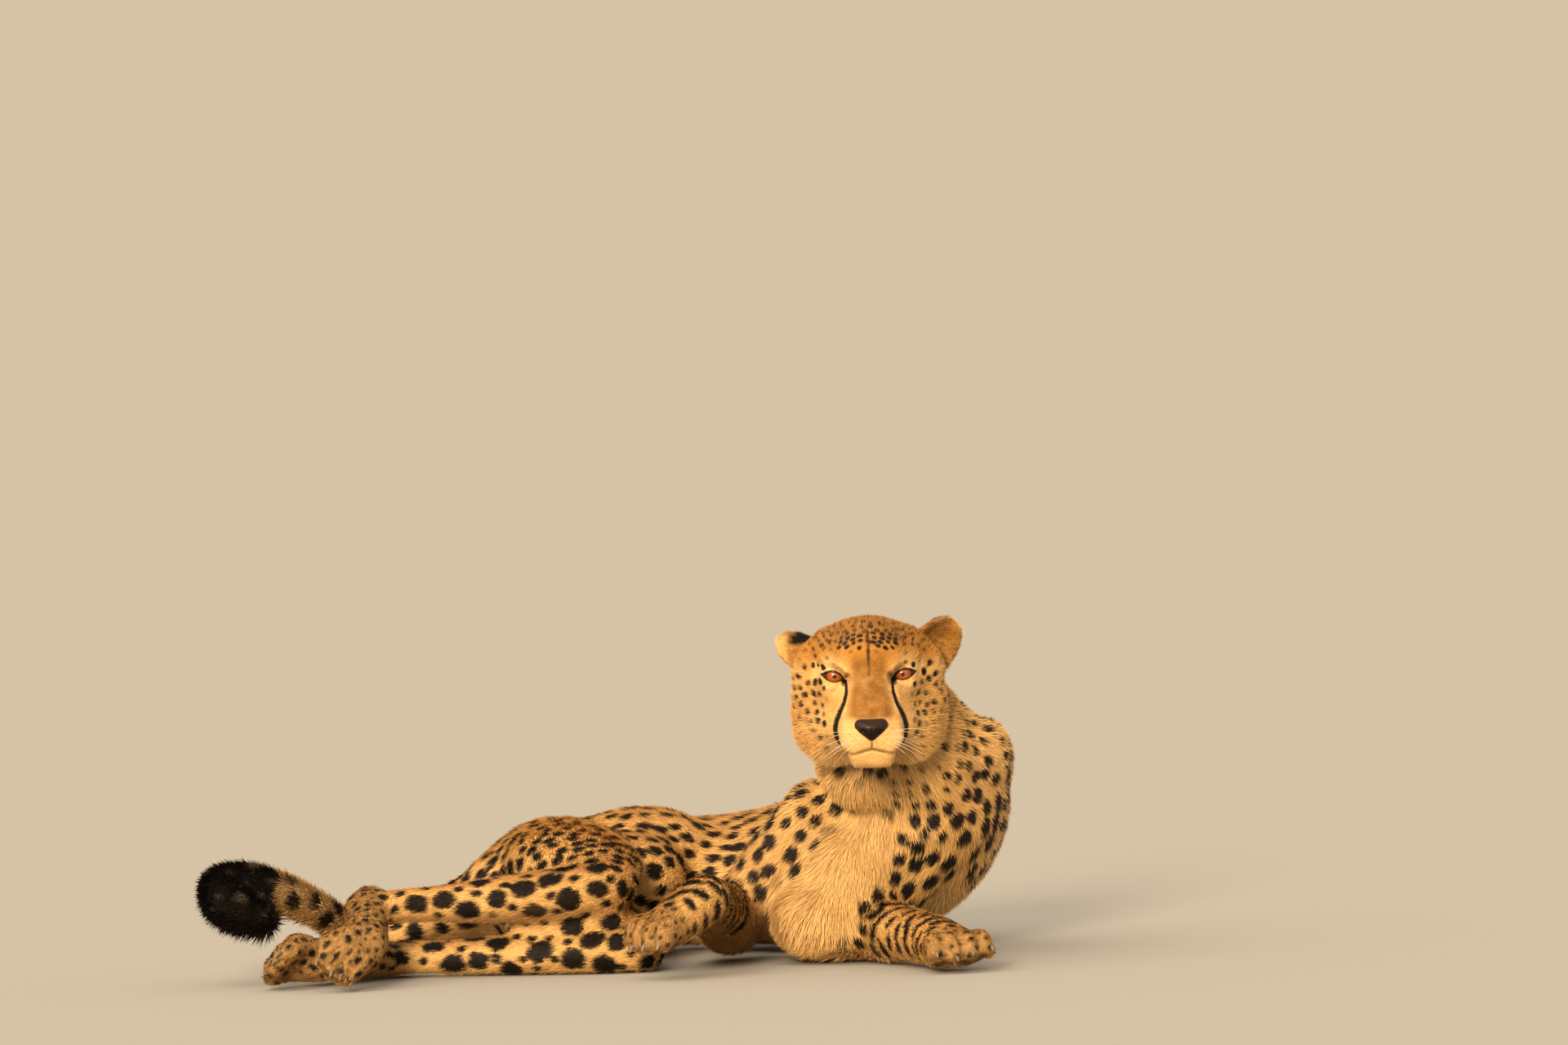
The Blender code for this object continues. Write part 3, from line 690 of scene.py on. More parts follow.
# How far along a paw its toes begin, by its length.
TOES_FROM = 0.55


def middle_of(node: str) -> Array:
    """The middle of a node's box."""
    low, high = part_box(node)
    return (np.array(low) + np.array(high)) / 2


def within(node: str, share: Three) -> Array:
    """A place in a node's box, by its share of each side."""
    low, high = (np.array(corner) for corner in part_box(node))
    return low + (high - low) * np.array(share)


def tree_of(node: str) -> BVHTree:
    """A search tree of a node's surface."""
    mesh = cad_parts[node].data
    return BVHTree.FromPolygons(points_of(mesh).tolist(), triangles_of(mesh).tolist())


def joint_of(first: str, second: str) -> Array:
    """The middle of the thin cut between two nodes.

    Args:
        first: the one node.
        second: the other.

    Returns:
        A place.
    """
    tree = tree_of(second)
    points = points_of(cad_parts[first].data)
    near = [place for place in points if tree.find_nearest(Vector(place))[3] < CUT]
    return np.mean(near, axis=0)


def end_of(node: str, root: Array) -> Array:
    """The middle of the part of a node that lies farthest from its root.

    Args:
        node: the node.
        root: where it joins the body.

    Returns:
        A place.
    """
    points = points_of(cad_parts[node].data)
    gaps = np.linalg.norm(points - root, axis=1)
    return points[gaps > np.quantile(gaps, NEARER)].mean(axis=0)


def toes_of(limb: str, paw: str, count: int = 4) -> tuple[list[Array], Array, Array]:
    """The tips of a paw's toes.

    Args:
        limb: the node that the paw hangs on.
        paw: the paw's node.
        count: how many toes there are.

    Returns:
        The tips from one side to the other, the way the paw points, and the way across it.
    """
    points = points_of(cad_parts[paw].data)
    root = joint_of(limb, paw)
    onward = unit(end_of(paw, root) - root)
    ahead = (points - root) @ onward
    fore = points[ahead > TOES_FROM * ahead.max()]
    spread = fore - fore.mean(axis=0)
    spread = spread - np.outer(spread @ onward, onward)
    across = np.linalg.svd(spread, full_matrices=False)[2][0]
    place = (fore - root) @ across
    edges = np.linspace(place.min(), place.max(), count + 1)
    found = []
    for low, high in zip(edges[:-1], edges[1:]):
        toe = fore[(place >= low) & (place <= high)]
        if len(toe):
            found.append(toe[((toe - root) @ onward).argmax()])
    return found, onward, across


@dataclass
class Head:
    """The head's own axes: out to its left side, up, and ahead along the face."""

    nose_drop: float = math.radians(30.9)
    eye_set: float = 0.008
    middle: Array = field(init=False)
    axes: Array = field(init=False)

    def __post_init__(self) -> None:
        """Finds the axes from the eyes and the nose."""
        left, right, nose = (middle_of(name) for name in ("eye_left", "eye_right", "nose"))
        side = unit(left - right)
        between = (left + right) / 2
        line = nose - between
        line = unit(line - side * (line @ side))
        across = unit(np.cross(side, line))
        if across[2] < 0:
            across = -across
        ahead = line * math.cos(self.nose_drop) + across * math.sin(self.nose_drop)
        up = unit(np.cross(ahead, side))
        if up[2] < 0:
            up = -up
        self.axes = np.stack([side, up, ahead])
        self.middle = between + ahead * self.eye_set

    def local(self, points: Array) -> Array:
        """Places in the head's own axes."""
        return (points - self.middle) @ self.axes.T

    def world(self, points: Array) -> Array:
        """Places in the world from the head's own axes."""
        return np.asarray(points, float) @ self.axes + self.middle


@dataclass(frozen=True)
class EyeShape:
    """The opening of one eye in the plane that faces the viewer, seen from the eye's middle.

    Sideways is away from the nose, and both lids are arcs between the two corners.
    """

    radius: float = 0.0155
    inner: Pair = (-0.0094, -0.0024)
    outer: Pair = (0.0127, 0.0022)
    upper: float = 0.0052
    lower: float = 0.0050
    bow: float = 0.8

    def share(self, points: Array) -> tuple[Array, Array, Array]:
        """Places along the line between the corners, over it, and the arc's height there.

        Args:
            points: places in the plane of the opening.

        Returns:
            How far along the line each is, from 0 to 1, how far over it, and the arc's share of height.
        """
        inner, outer = np.array(self.inner), np.array(self.outer)
        run = outer - inner
        length = np.linalg.norm(run)
        run = run / length
        rise = np.array([-run[1], run[0]])
        along = (points - inner) @ run / length
        over = (points - inner) @ rise
        arch = np.sin(np.clip(along, 0.0, 1.0) * math.pi) ** self.bow
        return along, over, arch

    def outside(self, points: Array) -> Array:
        """How far places lie outside the opening, less than nothing inside.

        Args:
            points: places in the plane of the opening.

        Returns:
            A distance for each place.
        """
        along, over, arch = self.share(points)
        above = over - self.upper * arch
        below = -over - self.lower * arch
        length = np.linalg.norm(np.array(self.outer) - np.array(self.inner))
        beyond = np.maximum(-along, along - 1.0) * length
        return np.maximum(np.maximum(above, below), beyond)

    def contour(self, steps: int = 28) -> Array:
        """The edge of the opening, round once from the inner corner.

        Args:
            steps: points on each lid.

        Returns:
            The edge's points.
        """
        inner, outer = np.array(self.inner), np.array(self.outer)
        run = outer - inner
        rise = np.array([-run[1], run[0]]) / np.linalg.norm(run)
        share = (1 - np.cos(np.linspace(0, math.pi, steps))) / 2
        arch = np.sin(share * math.pi) ** self.bow
        top = inner + share[:, None] * run + rise * (self.upper * arch)[:, None]
        low = inner + share[:, None] * run - rise * (self.lower * arch)[:, None]
        return np.vstack([top, low[::-1][1:-1]])


def from_lids(points: Array, name: str, sign: int) -> tuple[Array, Array]:
    """Where places lie as one eye sees them.

    Args:
        points: places in the world.
        name: the eye's node.
        sign: 1 for the left eye and -1 for the right one.

    Returns:
        The places from the eye's middle, and how far they lie outside its opening.
    """
    away = points - middle_of(name)
    return away, EyeShape().outside(np.stack([away[:, 0] * sign, away[:, 2]], 1))


# ------------ the skin
@dataclass
class Surface:
    """A surface of triangles that carries named values at its points."""

    points: Array
    triangles: Array
    values: dict[str, Array] = field(default_factory=dict)

    def __post_init__(self) -> None:
        """Lists the edges."""
        pairs = np.vstack([self.triangles[:, [0, 1]], self.triangles[:, [1, 2]],
                           self.triangles[:, [2, 0]]])
        pairs = np.unique(np.sort(pairs, axis=1), axis=0)
        self.ends = np.concatenate([pairs[:, 0], pairs[:, 1]])
        self.others = np.concatenate([pairs[:, 1], pairs[:, 0]])
        self.degree = np.maximum(np.bincount(self.ends, minlength=len(self.points)), 1)

    def mean(self, values: Array) -> Array:
        """The mean of each point's neighbours.

        Args:
            values: a row for each point.

        Returns:
            The means.
        """
        if values.ndim == 1:
            total = np.bincount(self.ends, values[self.others], len(self.points))
            return total / self.degree
        return np.stack([self.mean(values[:, part]) for part in range(values.shape[1])], 1)

    def relax(self, values: Array, rounds: int, pull: float = 0.5) -> Array:
        """Smooths values over the surface.

        Args:
            values: a row for each point.
            rounds: how many times.
            pull: how far a value goes to its neighbours' mean.

        Returns:
            The smoothed values.
        """
        for _ in range(rounds):
            values = values + (self.mean(values) - values) * pull
        return values

    def smooth(self, rounds: int, share: Array | None = None) -> None:
        """Smooths the shape without shrinking it much, all over or by a share for each point.

        Args:
            rounds: how many times.
            share: how much each point takes part.
        """
        share = np.ones(len(self.points)) if share is None else share
        for _ in range(rounds):
            for pull in (0.5, -0.52):
                step = self.mean(self.points) - self.points
                self.points = self.points + step * (pull * share)[:, None]

    def normals(self) -> Array:
        """The outward direction at each point.

        Returns:
            A direction for each point.
        """
        a, b, c = (self.points[self.triangles[:, part]] for part in range(3))
        wide = np.cross(b - a, c - a)
        total = np.zeros_like(self.points)
        for part in range(3):
            for axis in range(3):
                total[:, axis] += np.bincount(
                    self.triangles[:, part], wide[:, axis], len(self.points))
        return unit(total)

    def areas(self) -> Array:
        """The area of each triangle."""
        a, b, c = (self.points[self.triangles[:, part]] for part in range(3))
        return np.linalg.norm(np.cross(b - a, c - a), axis=1) / 2


@dataclass
class Skin:
    """One seamless hide over the whole body, and the two ears set into it.

    Attributes:
        coarse: grain of the body.
        ear_grain: grain of the ears.
        ear_sink: how far the ears' roots run down into the head.
        eye: the opening of the lids.
        paw_length: how far from its tip a forepaw reaches.
        chin_taper: how far the corners under the mouth are drawn in.
        lid_thickness: how far the lids lie over the eyeball.
        eye_depth: how far the skin sinks behind the eyeball's front.
        blend_rounds: how often the parts' values are smoothed.
    """

    head: Head
    coarse: float = 0.0048
    ear_grain: float = 0.0016
    ear_sink: float = 0.007
    eye: EyeShape = EyeShape()
    mouth_depth: float = 0.0020
    mouth_width: float = 0.0020
    paw_length: float = 0.056
    chin_taper: float = 0.0048
    toe_gap: float = 0.0026
    toe_depth: float = 0.0048
    lid_thickness: float = 0.0009
    eye_depth: float = 0.0065
    blend_rounds: int = 8

    # Where the grain is halved once, and once more: the widest, lowest, highest and rearmost
    # places in the head's own axes.
    FINER = ((0.090, -0.100, math.inf, -0.060), (0.060, -0.095, 0.034, -0.020))
    # The lip lines in the head's own axes, sideways and up.
    PHILTRUM = np.array([(0.0, -0.0560), (0.0, -0.0647)])
    LIP = np.array([(0.0, -0.0647), (0.0062, -0.0660), (0.0126, -0.0682), (0.0205, -0.0712),
                    (0.0270, -0.0712), (0.0325, -0.0678)])

    def shell(self, nodes: tuple[str, ...], grain: float) -> Object:
        """One closed shell through the given nodes, with the cuts between them healed.

        Args:
            nodes: the frame's nodes.
            grain: length of a face's edge.

        Returns:
            A helper object that shows the shell.
        """
        built = bmesh.new()
        for node in nodes:
            built.from_mesh(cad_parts[node].data)
        bmesh.ops.remove_doubles(built, verts=built.verts, dist=1e-5)
        mesh = bpy.data.meshes.new("shell")
        built.to_mesh(mesh)
        built.free()
        made = stand("shell", mesh)
        remesh = made.modifiers.new("grain", "REMESH")
        remesh.mode = "VOXEL"
        remesh.voxel_size = grain
        whole = settled(made)
        discard(made)
        return stand("shell", whole)

    def refine(self, mesh: Mesh) -> None:
        """Halves the grain over the head, and again over the face.

        Args:
            mesh: the shell, which is changed.
        """
        built = bmesh.new()
        built.from_mesh(mesh)
        self.drop_crumbs(built)
        for wide, low, high, rear in self.FINER:
            centres = np.array([tuple(face.calc_center_median()) for face in built.faces])
            side, up, ahead = self.head.local(centres).T
            near = (np.abs(side) < wide) & (up > low) & (up < high) & (ahead > rear)
            built.faces.ensure_lookup_table()
            edges = {edge for number in np.flatnonzero(near) for edge in built.faces[number].edges}
            bmesh.ops.subdivide_edges(built, edges=list(edges), cuts=1, use_grid_fill=True)
        bmesh.ops.triangulate(built, faces=built.faces)
        built.to_mesh(mesh)
        built.free()

    def drop_crumbs(self, built: bmesh.types.BMesh) -> None:
        """Keeps only the largest connected shell.

        Args:
            built: the shell, which is changed.
        """
        built.verts.ensure_lookup_table()
        seen = np.zeros(len(built.verts), bool)
        islands = []
        for start in built.verts:
            if seen[start.index]:
                continue
            seen[start.index] = True
            island, waiting = [], [start]
            while waiting:
                vert = waiting.pop()
                island.append(vert)
                for edge in vert.link_edges:
                    other = edge.other_vert(vert)
                    if not seen[other.index]:
                        seen[other.index] = True
                        waiting.append(other)
            islands.append(island)
        islands.sort(key=len, reverse=True)
        crumbs = [vert for island in islands[1:] for vert in island]
        if crumbs:
            bmesh.ops.delete(built, geom=crumbs, context="VERTS")

    def zones(self, surface: Surface, names: tuple[str, ...]) -> None:
        """Gives each point the coat of the part that it belongs to, softly blended.

        Args:
            surface: gets a value for each field of Zone and for each region.
            names: the nodes that it goes round.
        """
        points, triangles, owners, count = [], [], [], 0
        for number, name in enumerate(names):
            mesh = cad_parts[name].data
            place, corners = points_of(mesh), triangles_of(mesh)
            points.append(place)
            triangles.append(corners + count)
            owners += [number] * len(corners)
            count += len(place)
        tree = BVHTree.FromPolygons(np.vstack(points).tolist(), np.vstack(triangles).tolist())
        owner = np.array([owners[tree.find_nearest(Vector(place))[2]]
                          for place in surface.points.tolist()])
        for arm, paw in PAWS[:2]:
            if paw in names:
                tip = end_of(paw, joint_of(arm, paw))
                wrist = np.linalg.norm(surface.points - tip, axis=1) > self.paw_length
                owner[(owner == names.index(paw)) & wrist] = names.index(arm)
        surface.values["part"] = np.array([NUMBER[name] for name in names])[owner]
        for item in fields(Zone):
            table = np.array([getattr(ZONES[name], item.name) for name in names])
            surface.values[item.name] = surface.relax(table[owner].astype(float), self.blend_rounds)
        for region, members in (
            ("is_head", ("head",)),
            ("is_brush", ("tail_brush",)),
            ("is_tail", ("tail_bend", "tail_rise", "tail_brush")),
            ("is_paw", tuple(paw for _, paw in PAWS)),
            ("is_arm", tuple(arm for arm, _ in PAWS[:2])),
        ):
            inside = np.isin(owner, [names.index(name) for name in members if name in names])
            surface.values[region] = surface.relax(inside.astype(float), self.blend_rounds)

    def body(self) -> Surface:
        """The skin of the body, sunk by the coat's depth, with the face carved in it.

        Returns:
            The body's skin.
        """
        made = self.shell(FLESH + FILLED, self.coarse)
        self.refine(made.data)
        surface = Surface(points_of(made.data), triangles_of(made.data))
        discard(made)
        side, up, ahead = self.head.local(surface.points).T
        face = ease(0.10, 0.08, np.abs(side)) * ease(-0.12, -0.10, up) * ease(-0.1, -0.07, ahead)
        self.zones(surface, FLESH)
        surface.smooth(5, 0.25 + 0.75 * (1 - face))
        surface.smooth(4, face)
        surface.smooth(26, (1 - face) * (1 - np.clip(surface.values["is_paw"], 0, 1)))
        surface.points = surface.points - surface.normals() * surface.values["depth"][:, None]
        surface.smooth(2)
        self.carve_eyes(surface)
        self.carve_mouth(surface)
        self.carve_toes(surface)
        surface.values["inner"] = np.zeros(len(surface.points))
        surface.values["rim"] = np.zeros(len(surface.points))
        return surface

    def carve_eyes(self, surface: Surface) -> None:
        """Draws the lids over the eyeballs and opens them.

        Args:
            surface: the body's skin, which is changed.
        """
        for name, sign in EYES:
            local, out = from_lids(surface.points, name, sign)
            flat = np.stack([local[:, 0] * sign, local[:, 2]], 1)
            front = -local[:, 1]
            near = (np.linalg.norm(flat, axis=1) < 0.034) & (front > -0.012)
            span = self.eye.radius + self.lid_thickness
            square = span**2 - (flat**2).sum(axis=1)
            ball = np.sqrt(np.maximum(square, 0.0))
            lid = np.where(square > 0, ball, front)
            hug = ease(0.0085, 0.0015, out) * ease(0.0, 0.00006, square)
            wanted = front + (lid - front) * hug
            brow = swell(flat, (0.005, 0.0150), (0.014, 0.005))
            fold = swell(flat, (0.004, 0.0088), (0.011, 0.0018))
            wanted = wanted + 0.0004 * brow - 0.0003 * fold
            wanted = np.where(out < 0, ball - self.eye_depth, wanted)
            surface.points[:, 1] -= np.where(near, wanted - front, 0.0)
        wide = surface.relax(surface.points, 1, 0.35)
        side, up, ahead = self.head.local(surface.points).T
        eyes = (np.abs(up) < 0.03) & (np.abs(np.abs(side) - 0.036) < 0.028) & (ahead > -0.02)
        surface.points = np.where(eyes[:, None], wide, surface.points)

    def carve_mouth(self, surface: Surface) -> None:
        """Presses in the line from the nose to the lips, and the lips' own line.

        Args:
            surface: the body's skin, which is changed.
        """
        local = self.head.local(surface.points)
        flat = np.stack([np.abs(local[:, 0]), local[:, 1]], 1)
        front = local[:, 2] > 0.02
        groove = np.zeros(len(flat))
        for line, deep in ((self.PHILTRUM, 0.7), (self.LIP, 1.0)):
            gap, _ = reach_to(flat, line)
            groove = np.maximum(groove, deep * np.exp(-((gap / self.mouth_width) ** 2)))
        inward = -surface.normals()
        surface.points = surface.points + inward * (groove * front * self.mouth_depth)[:, None]
        low = ease(-0.052, -0.072, flat[:, 1]) * ease(-0.105, -0.085, flat[:, 1])
        corner = ease(0.014, 0.030, flat[:, 0]) * ease(0.050, 0.036, flat[:, 0]) * low
        side = np.sign(local[:, 0]) * corner * self.chin_taper * ease(0.005, 0.025, local[:, 2])
        surface.points = surface.points - np.outer(side, self.head.axes[0])

    def carve_toes(self, surface: Surface) -> None:
        """Presses in the gaps between the toes, from their tips back over the paw.

        Args:
            surface: the body's skin, which is changed.
        """
        normals = surface.normals()
        for limb, paw in PAWS:
            tips, onward, across = toes_of(limb, paw)
            mine = surface.values["part"] == NUMBER[paw]
            for first, second in zip(tips[:-1], tips[1:]):
                away = surface.points - (first + second) / 2
                along, over = away @ onward, away @ across
                gap = np.exp(-((over / self.toe_gap) ** 2)) * ease(-0.034, -0.014, along)
                deep = self.toe_depth * gap * mine * ease(-0.9, -0.3, normals[:, 2])
                surface.points = surface.points - normals * deep[:, None]

    def ear(self, name: str) -> Surface:
        """One ear's own skin, with its root run down into the head.

        Args:
            name: the ear's node.

        Returns:
            The ear's skin.
        """
        made = self.shell((name,), self.ear_grain)
        ear = Surface(points_of(made.data), triangles_of(made.data))
        discard(made)
        ear.smooth(4)
        self.zones(ear, (name,))
        head_tree = tree_of("head")
        over = np.array([head_tree.find_nearest(Vector(place))[3] for place in ear.points.tolist()])
        normals = ear.normals()
        facing = EAR_FACING[name] @ self.head.axes
        root = ear.points[over < 0.004].mean(axis=0)
        axis = unit(ear.points[over > 0.8 * over.max()].mean(axis=0) - root)
        ear.values["inner"] = ear.relax(ease(-0.15, 0.25, normals @ facing), 3)
        height = (ear.points - root) @ axis
        ear.values["rim"] = np.clip(height / height.max(), 0, 1)
        ear.points = ear.points - normals * ear.values["depth"][:, None]
        ear.points = ear.points - axis * (self.ear_sink * ease(0.012, 0.0, over))[:, None]
        return ear

    def build(self) -> Surface:
        """Joins the body and the ears in one surface.

        Returns:
            The whole skin.
        """
        parts = [self.body()] + [self.ear(name) for name in EARS]
        points, triangles = pooled([(part.points, part.triangles) for part in parts])
        names = parts[1].values.keys()
        values = {name: np.concatenate([part.values[name] for part in parts]) for name in names}
        return Surface(points, triangles, values)


# The way each ear's hollow faces, in the head's own axes.
EAR_FACING = {
    "ear_left": unit(np.array([0.35, -0.10, 0.92])),
    "ear_right": unit(np.array([-0.35, -0.60, -0.60])),
}


# ------------ the lie of the hair
@dataclass
class Lie:
    """The way the hair runs: back from the nose, along the trunk and down the limbs."""

    head: Head
    chains: list[tuple[Array, float]] = field(default_factory=list)

    def __post_init__(self) -> None:
        """Finds the middle line of the trunk, the tail and each limb."""
        trunk = [("head", "neck"), ("neck", "chest")]
        rear = [("chest", "loin"), ("loin", "rump"), ("rump", "tail_root")]
        tail = [("rump", "tail_root"), ("tail_root", "tail_bend"), ("tail_bend", "tail_rise"),
                ("tail_rise", "tail_brush")]
        line = [joint_of(*pair) for pair in trunk]
        line.append(within("chest", (0.70, 0.60, 0.45)))
        line += [joint_of(*pair) for pair in rear]
        self.chains.append((np.array(line), 0.085))
        line = [joint_of(*pair) for pair in tail]
        line.append(end_of("tail_brush", line[-1]))
        self.chains.append((np.array(line), 0.022))
        for side, share in (("right", (0.374, 0.238, 0.576)), ("left", (0.797, 0.238, 0.517))):
            arm, paw = f"forearm_{side}", f"forepaw_{side}"
            line = [within("chest", share), joint_of("chest", arm), joint_of(arm, paw)]
            line.append(end_of(paw, line[-1]))
            self.chains.append((np.array(line), 0.035))
            thigh, shank, foot = (f"{part}_{side}" for part in ("thigh", "shank", "hindfoot"))
            line = [joint_of("rump", thigh), joint_of(thigh, shank), joint_of(shank, foot)]
            line.append(end_of(foot, line[-1]))
            self.chains.append((np.array(line), 0.035))

    def along(self, surface: Surface) -> Array:
        """The direction of the hair at each point, in the plane of the skin.

        Args:
            surface: the whole skin.

        Returns:
            A direction for each point.
        """
        points, normals = surface.points, surface.normals()
        total = np.zeros_like(points)
        for line, radius in self.chains:
            for start, stop in zip(line[:-1], line[1:]):
                gap, _ = reach_to(points, np.array([start, stop]))
                weight = 1.0 / ((gap / radius) ** 4 + 0.02)
                total += weight[:, None] * unit(stop - start)
        local = self.head.local(points)
        away = unit((local - np.array([0.0, -0.044, 0.050])) @ self.head.axes)
        total = blend(unit(total), away, ease(0.2, 0.8, surface.values["is_head"]))
        for name in EARS:
            part = surface.values["part"] == NUMBER[name]
            heart = points[part].mean(axis=0)
            up = unit(heart - self.head.world([0.0, -0.02, -0.05]))
            total[part] = up + 0.6 * unit(points[part] - heart)
        for _ in range(8):
            total -= normals * (total * normals).sum(axis=1)[:, None]
            total = surface.relax(unit(total), 5)
        total -= normals * (total * normals).sum(axis=1)[:, None]
        return unit(total)


# ------------ the markings
GOLD = paint(212, 158, 88)
HONEY = paint(240, 194, 122)
TAWNY = paint(190, 130, 46)
CREAM = paint(234, 188, 120)
OCHRE = paint(180, 118, 30)
BROW = paint(132, 84, 18)
GREY = paint(172, 138, 96)
SHEEN_GREY = paint(112, 96, 80)
UMBER = paint(126, 88, 46)
BLACK = paint(17, 10, 6)
SOOT = paint(58, 34, 18)


@dataclass
class Markings:
    """The cheetah's colours at any place on its coat: ground colour, spots and face marks, with painted
    shade round the nose, painted light in the eyes' inner corners and painted sheen on the tail brush.
    """

    head: Head
    surface: Surface
    flow: Array
    spots: Array = field(init=False)

    # The marks' places in the head's own axes, sideways and up.
    TEAR = np.array([(0.0238, -0.0036), (0.0240, -0.0106), (0.0269, -0.0205), (0.0312, -0.0298),
                     (0.0349, -0.0390), (0.0368, -0.0483), (0.0354, -0.0580), (0.0313, -0.0668)])
    STREAK = np.array([(0.0, 0.008), (0.0, 0.046)])
    # Pale patches over the eye, under it and on the cheek: strength, middle and size.
    PALE = ((0.95, (0.038, 0.0165), (0.0120, 0.0080)), (0.90, (0.038, -0.0125), (0.0120, 0.0060)),
            (0.70, (0.048, -0.0460), (0.0140, 0.0220)))
    # The black patch behind the right ear: its middle, its size, and its lean as a cosine and a sine.
    EAR_PATCH = ((-0.0655, 0.0325), (0.0165, 0.0058), (0.985, 0.17))

    def __post_init__(self) -> None:
        """Finds the pale underside, then scatters the spots."""
        chest = [self.head.world([0.0, -0.080, 0.020]), self.head.world([0.0, -0.105, -0.01])]
        chest += [within("chest", (0.57, 0.12, 0.60)), within("chest", (0.40, 0.12, 0.24)),
                  within("chest", (0.20, 0.22, 0.08))]
        groin = within("rump", (0.75, 0.10, 0.30))
        self.underline = np.array(chest + [groin])
        self.surface.values["pale"] = self.pale(self.surface.points, self.surface.normals())
        self.spots = self.scatter()
        self.tree = KDTree(len(self.spots))
        for number, spot in enumerate(self.spots):
            self.tree.insert(spot[:3], number)
        self.tree.balance()

    def pale(self, points: Array, normals: Array) -> Array:
        """How pale the ground colour is, from 0 to 1.

        Args:
            points: places on the skin.
            normals: the outward directions there.

        Returns:
            A share for each place.
        """
        gap, along = reach_to(points, self.underline)
        width = 0.014 + 0.036 * ease(0.28, 0.62, along) * ease(1.0, 0.86, along)
        belly = ease(1.20, 0.70, gap / width)
        under = ease(-0.35, -0.85, normals[:, 2]) * 0.7
        return np.maximum(belly, under)

    def plan(self, values: dict[str, Array], points: Array) -> tuple[Array, Array, Array]:
        """The radius, the spacing and the strength of spots at places.

        Args:
            values: the skin's values at the places.
            points: the places.

        Returns:
            The three of them for each place.
        """
        side, up, ahead = self.head.local(points).T
        of_head = values["is_head"] > 0.5
        on_head = of_head & ((up > -0.080) | (ahead > -0.012))
        throat = of_head & ~on_head
        high = up - 0.25 * np.minimum(ahead, 0)
        crown = on_head * ease(0.024, 0.036, high)
        cheek = on_head * ease(0.040, 0.050, np.abs(side)) * ease(0.022, 0.006, up)
        spot = np.where(on_head, 0.0027 + 0.0006 * crown + 0.0013 * cheek, values["spot"])
        gap = np.where(on_head, 0.0108 - 0.0034 * crown, values["gap"])
        spot = np.where(throat, ZONES["neck"].spot, spot)
        gap = np.where(throat, ZONES["neck"].gap, gap)
        for name in ("chest", "rump", "thigh_right", "thigh_left"):
            (_, _, floor), (_, _, top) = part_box(name)
            level = (points[:, 2] - floor) / (top - floor)
            small = (values["part"] == NUMBER[name]) * ease(0.40, 0.80, level)
            spot, gap = spot * (1 - 0.22 * small), gap * (1 - 0.18 * small)
        low, tall = (np.array(corner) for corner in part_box("chest"))
        share = (points - low) / (tall - low)
        shoulder = (values["part"] == NUMBER["chest"]) * ease(0.74, 0.84, share[:, 0])
        shoulder = shoulder * ease(0.80, 0.62, share[:, 2]) * ease(0.40, 0.20, share[:, 1])
        spot, gap = spot + 0.0018 * shoulder, gap + 0.0050 * shoulder
        muzzle = ease(-0.018, -0.028, up) * ease(0.050, 0.040, np.abs(side))
        muzzle = muzzle * ease(-0.01, 0.01, ahead)
        temple = 0.5 * ease(0.030, 0.042, np.abs(side)) * ease(0.004, 0.016, up)
        face = np.clip(np.maximum(crown, cheek) + temple, 0, 1) * (1 - muzzle)
        face = face * (1 - ease(0.007, 0.004, np.abs(side)) * ease(0.048, 0.042, up))
        for name, sign in EYES:
            away, lids = from_lids(points, name, sign)
            near = np.linalg.norm(away, axis=1) < 0.03
            face = face * np.where(near, ease(0.005, 0.008, lids), 1.0)
        body = values["ink"] * ease(0.66, 0.40, values["pale"])
        ink = ease(0.18, 0.46, np.where(on_head, face, body))
        ink = ink * (1 - values["is_brush"]) * (values["part"] < NUMBER[EARS[0]])
        return spot, gap, ink

    def scatter(self) -> Array:
        """Throws spots on the skin, first the full ones and then the small ones between them.

        Returns:
            A row for each spot: place, direction, radius, stretch and strength.
        """
        points, values = self.surface.points, self.surface.values
        spot, gap, ink = self.plan(values, points)
        random = np.random.default_rng(SEED)
        cell = 0.012
        kept: dict[tuple[int, int, int], list[int]] = {}
        chosen, scale = [], []
        speckled = [NUMBER[name] for name in ZONES if name.startswith(("shank", "hind"))]
        speckled = np.isin(values["part"], speckled)
        for size, apart in ((1.0, 0.92), (0.45, 0.60)):
            for number in random.permutation(len(points)):
                if ink[number] < 0.25 or (size < 1.0 and not speckled[number]):
                    continue
                place, room = points[number], gap[number] * apart
                key = tuple(int(part) for part in place // cell)
                reach = int(room // cell) + 1
                clear = True
                for step in np.ndindex(2 * reach + 1, 2 * reach + 1, 2 * reach + 1):
                    near = kept.get((key[0] + step[0] - reach, key[1] + step[1] - reach,
                                     key[2] + step[2] - reach))
                    if near and any(((points[one] - place) ** 2).sum() < room**2 for one in near):
                        clear = False
                        break
                if clear:
                    kept.setdefault(key, []).append(number)
                    chosen.append(number)
                    scale.append(size)
        chosen = np.array(chosen)
        size = spot[chosen] * np.array(scale) * random.uniform(0.90, 1.16, len(chosen))
        stretch = values["stretch"][chosen] * random.uniform(0.85, 1.12, len(chosen))
        turned = self.flow[chosen] + random.normal(0, 0.16, (len(chosen), 3))
        return np.column_stack([points[chosen], unit(turned), size, stretch, ink[chosen]])

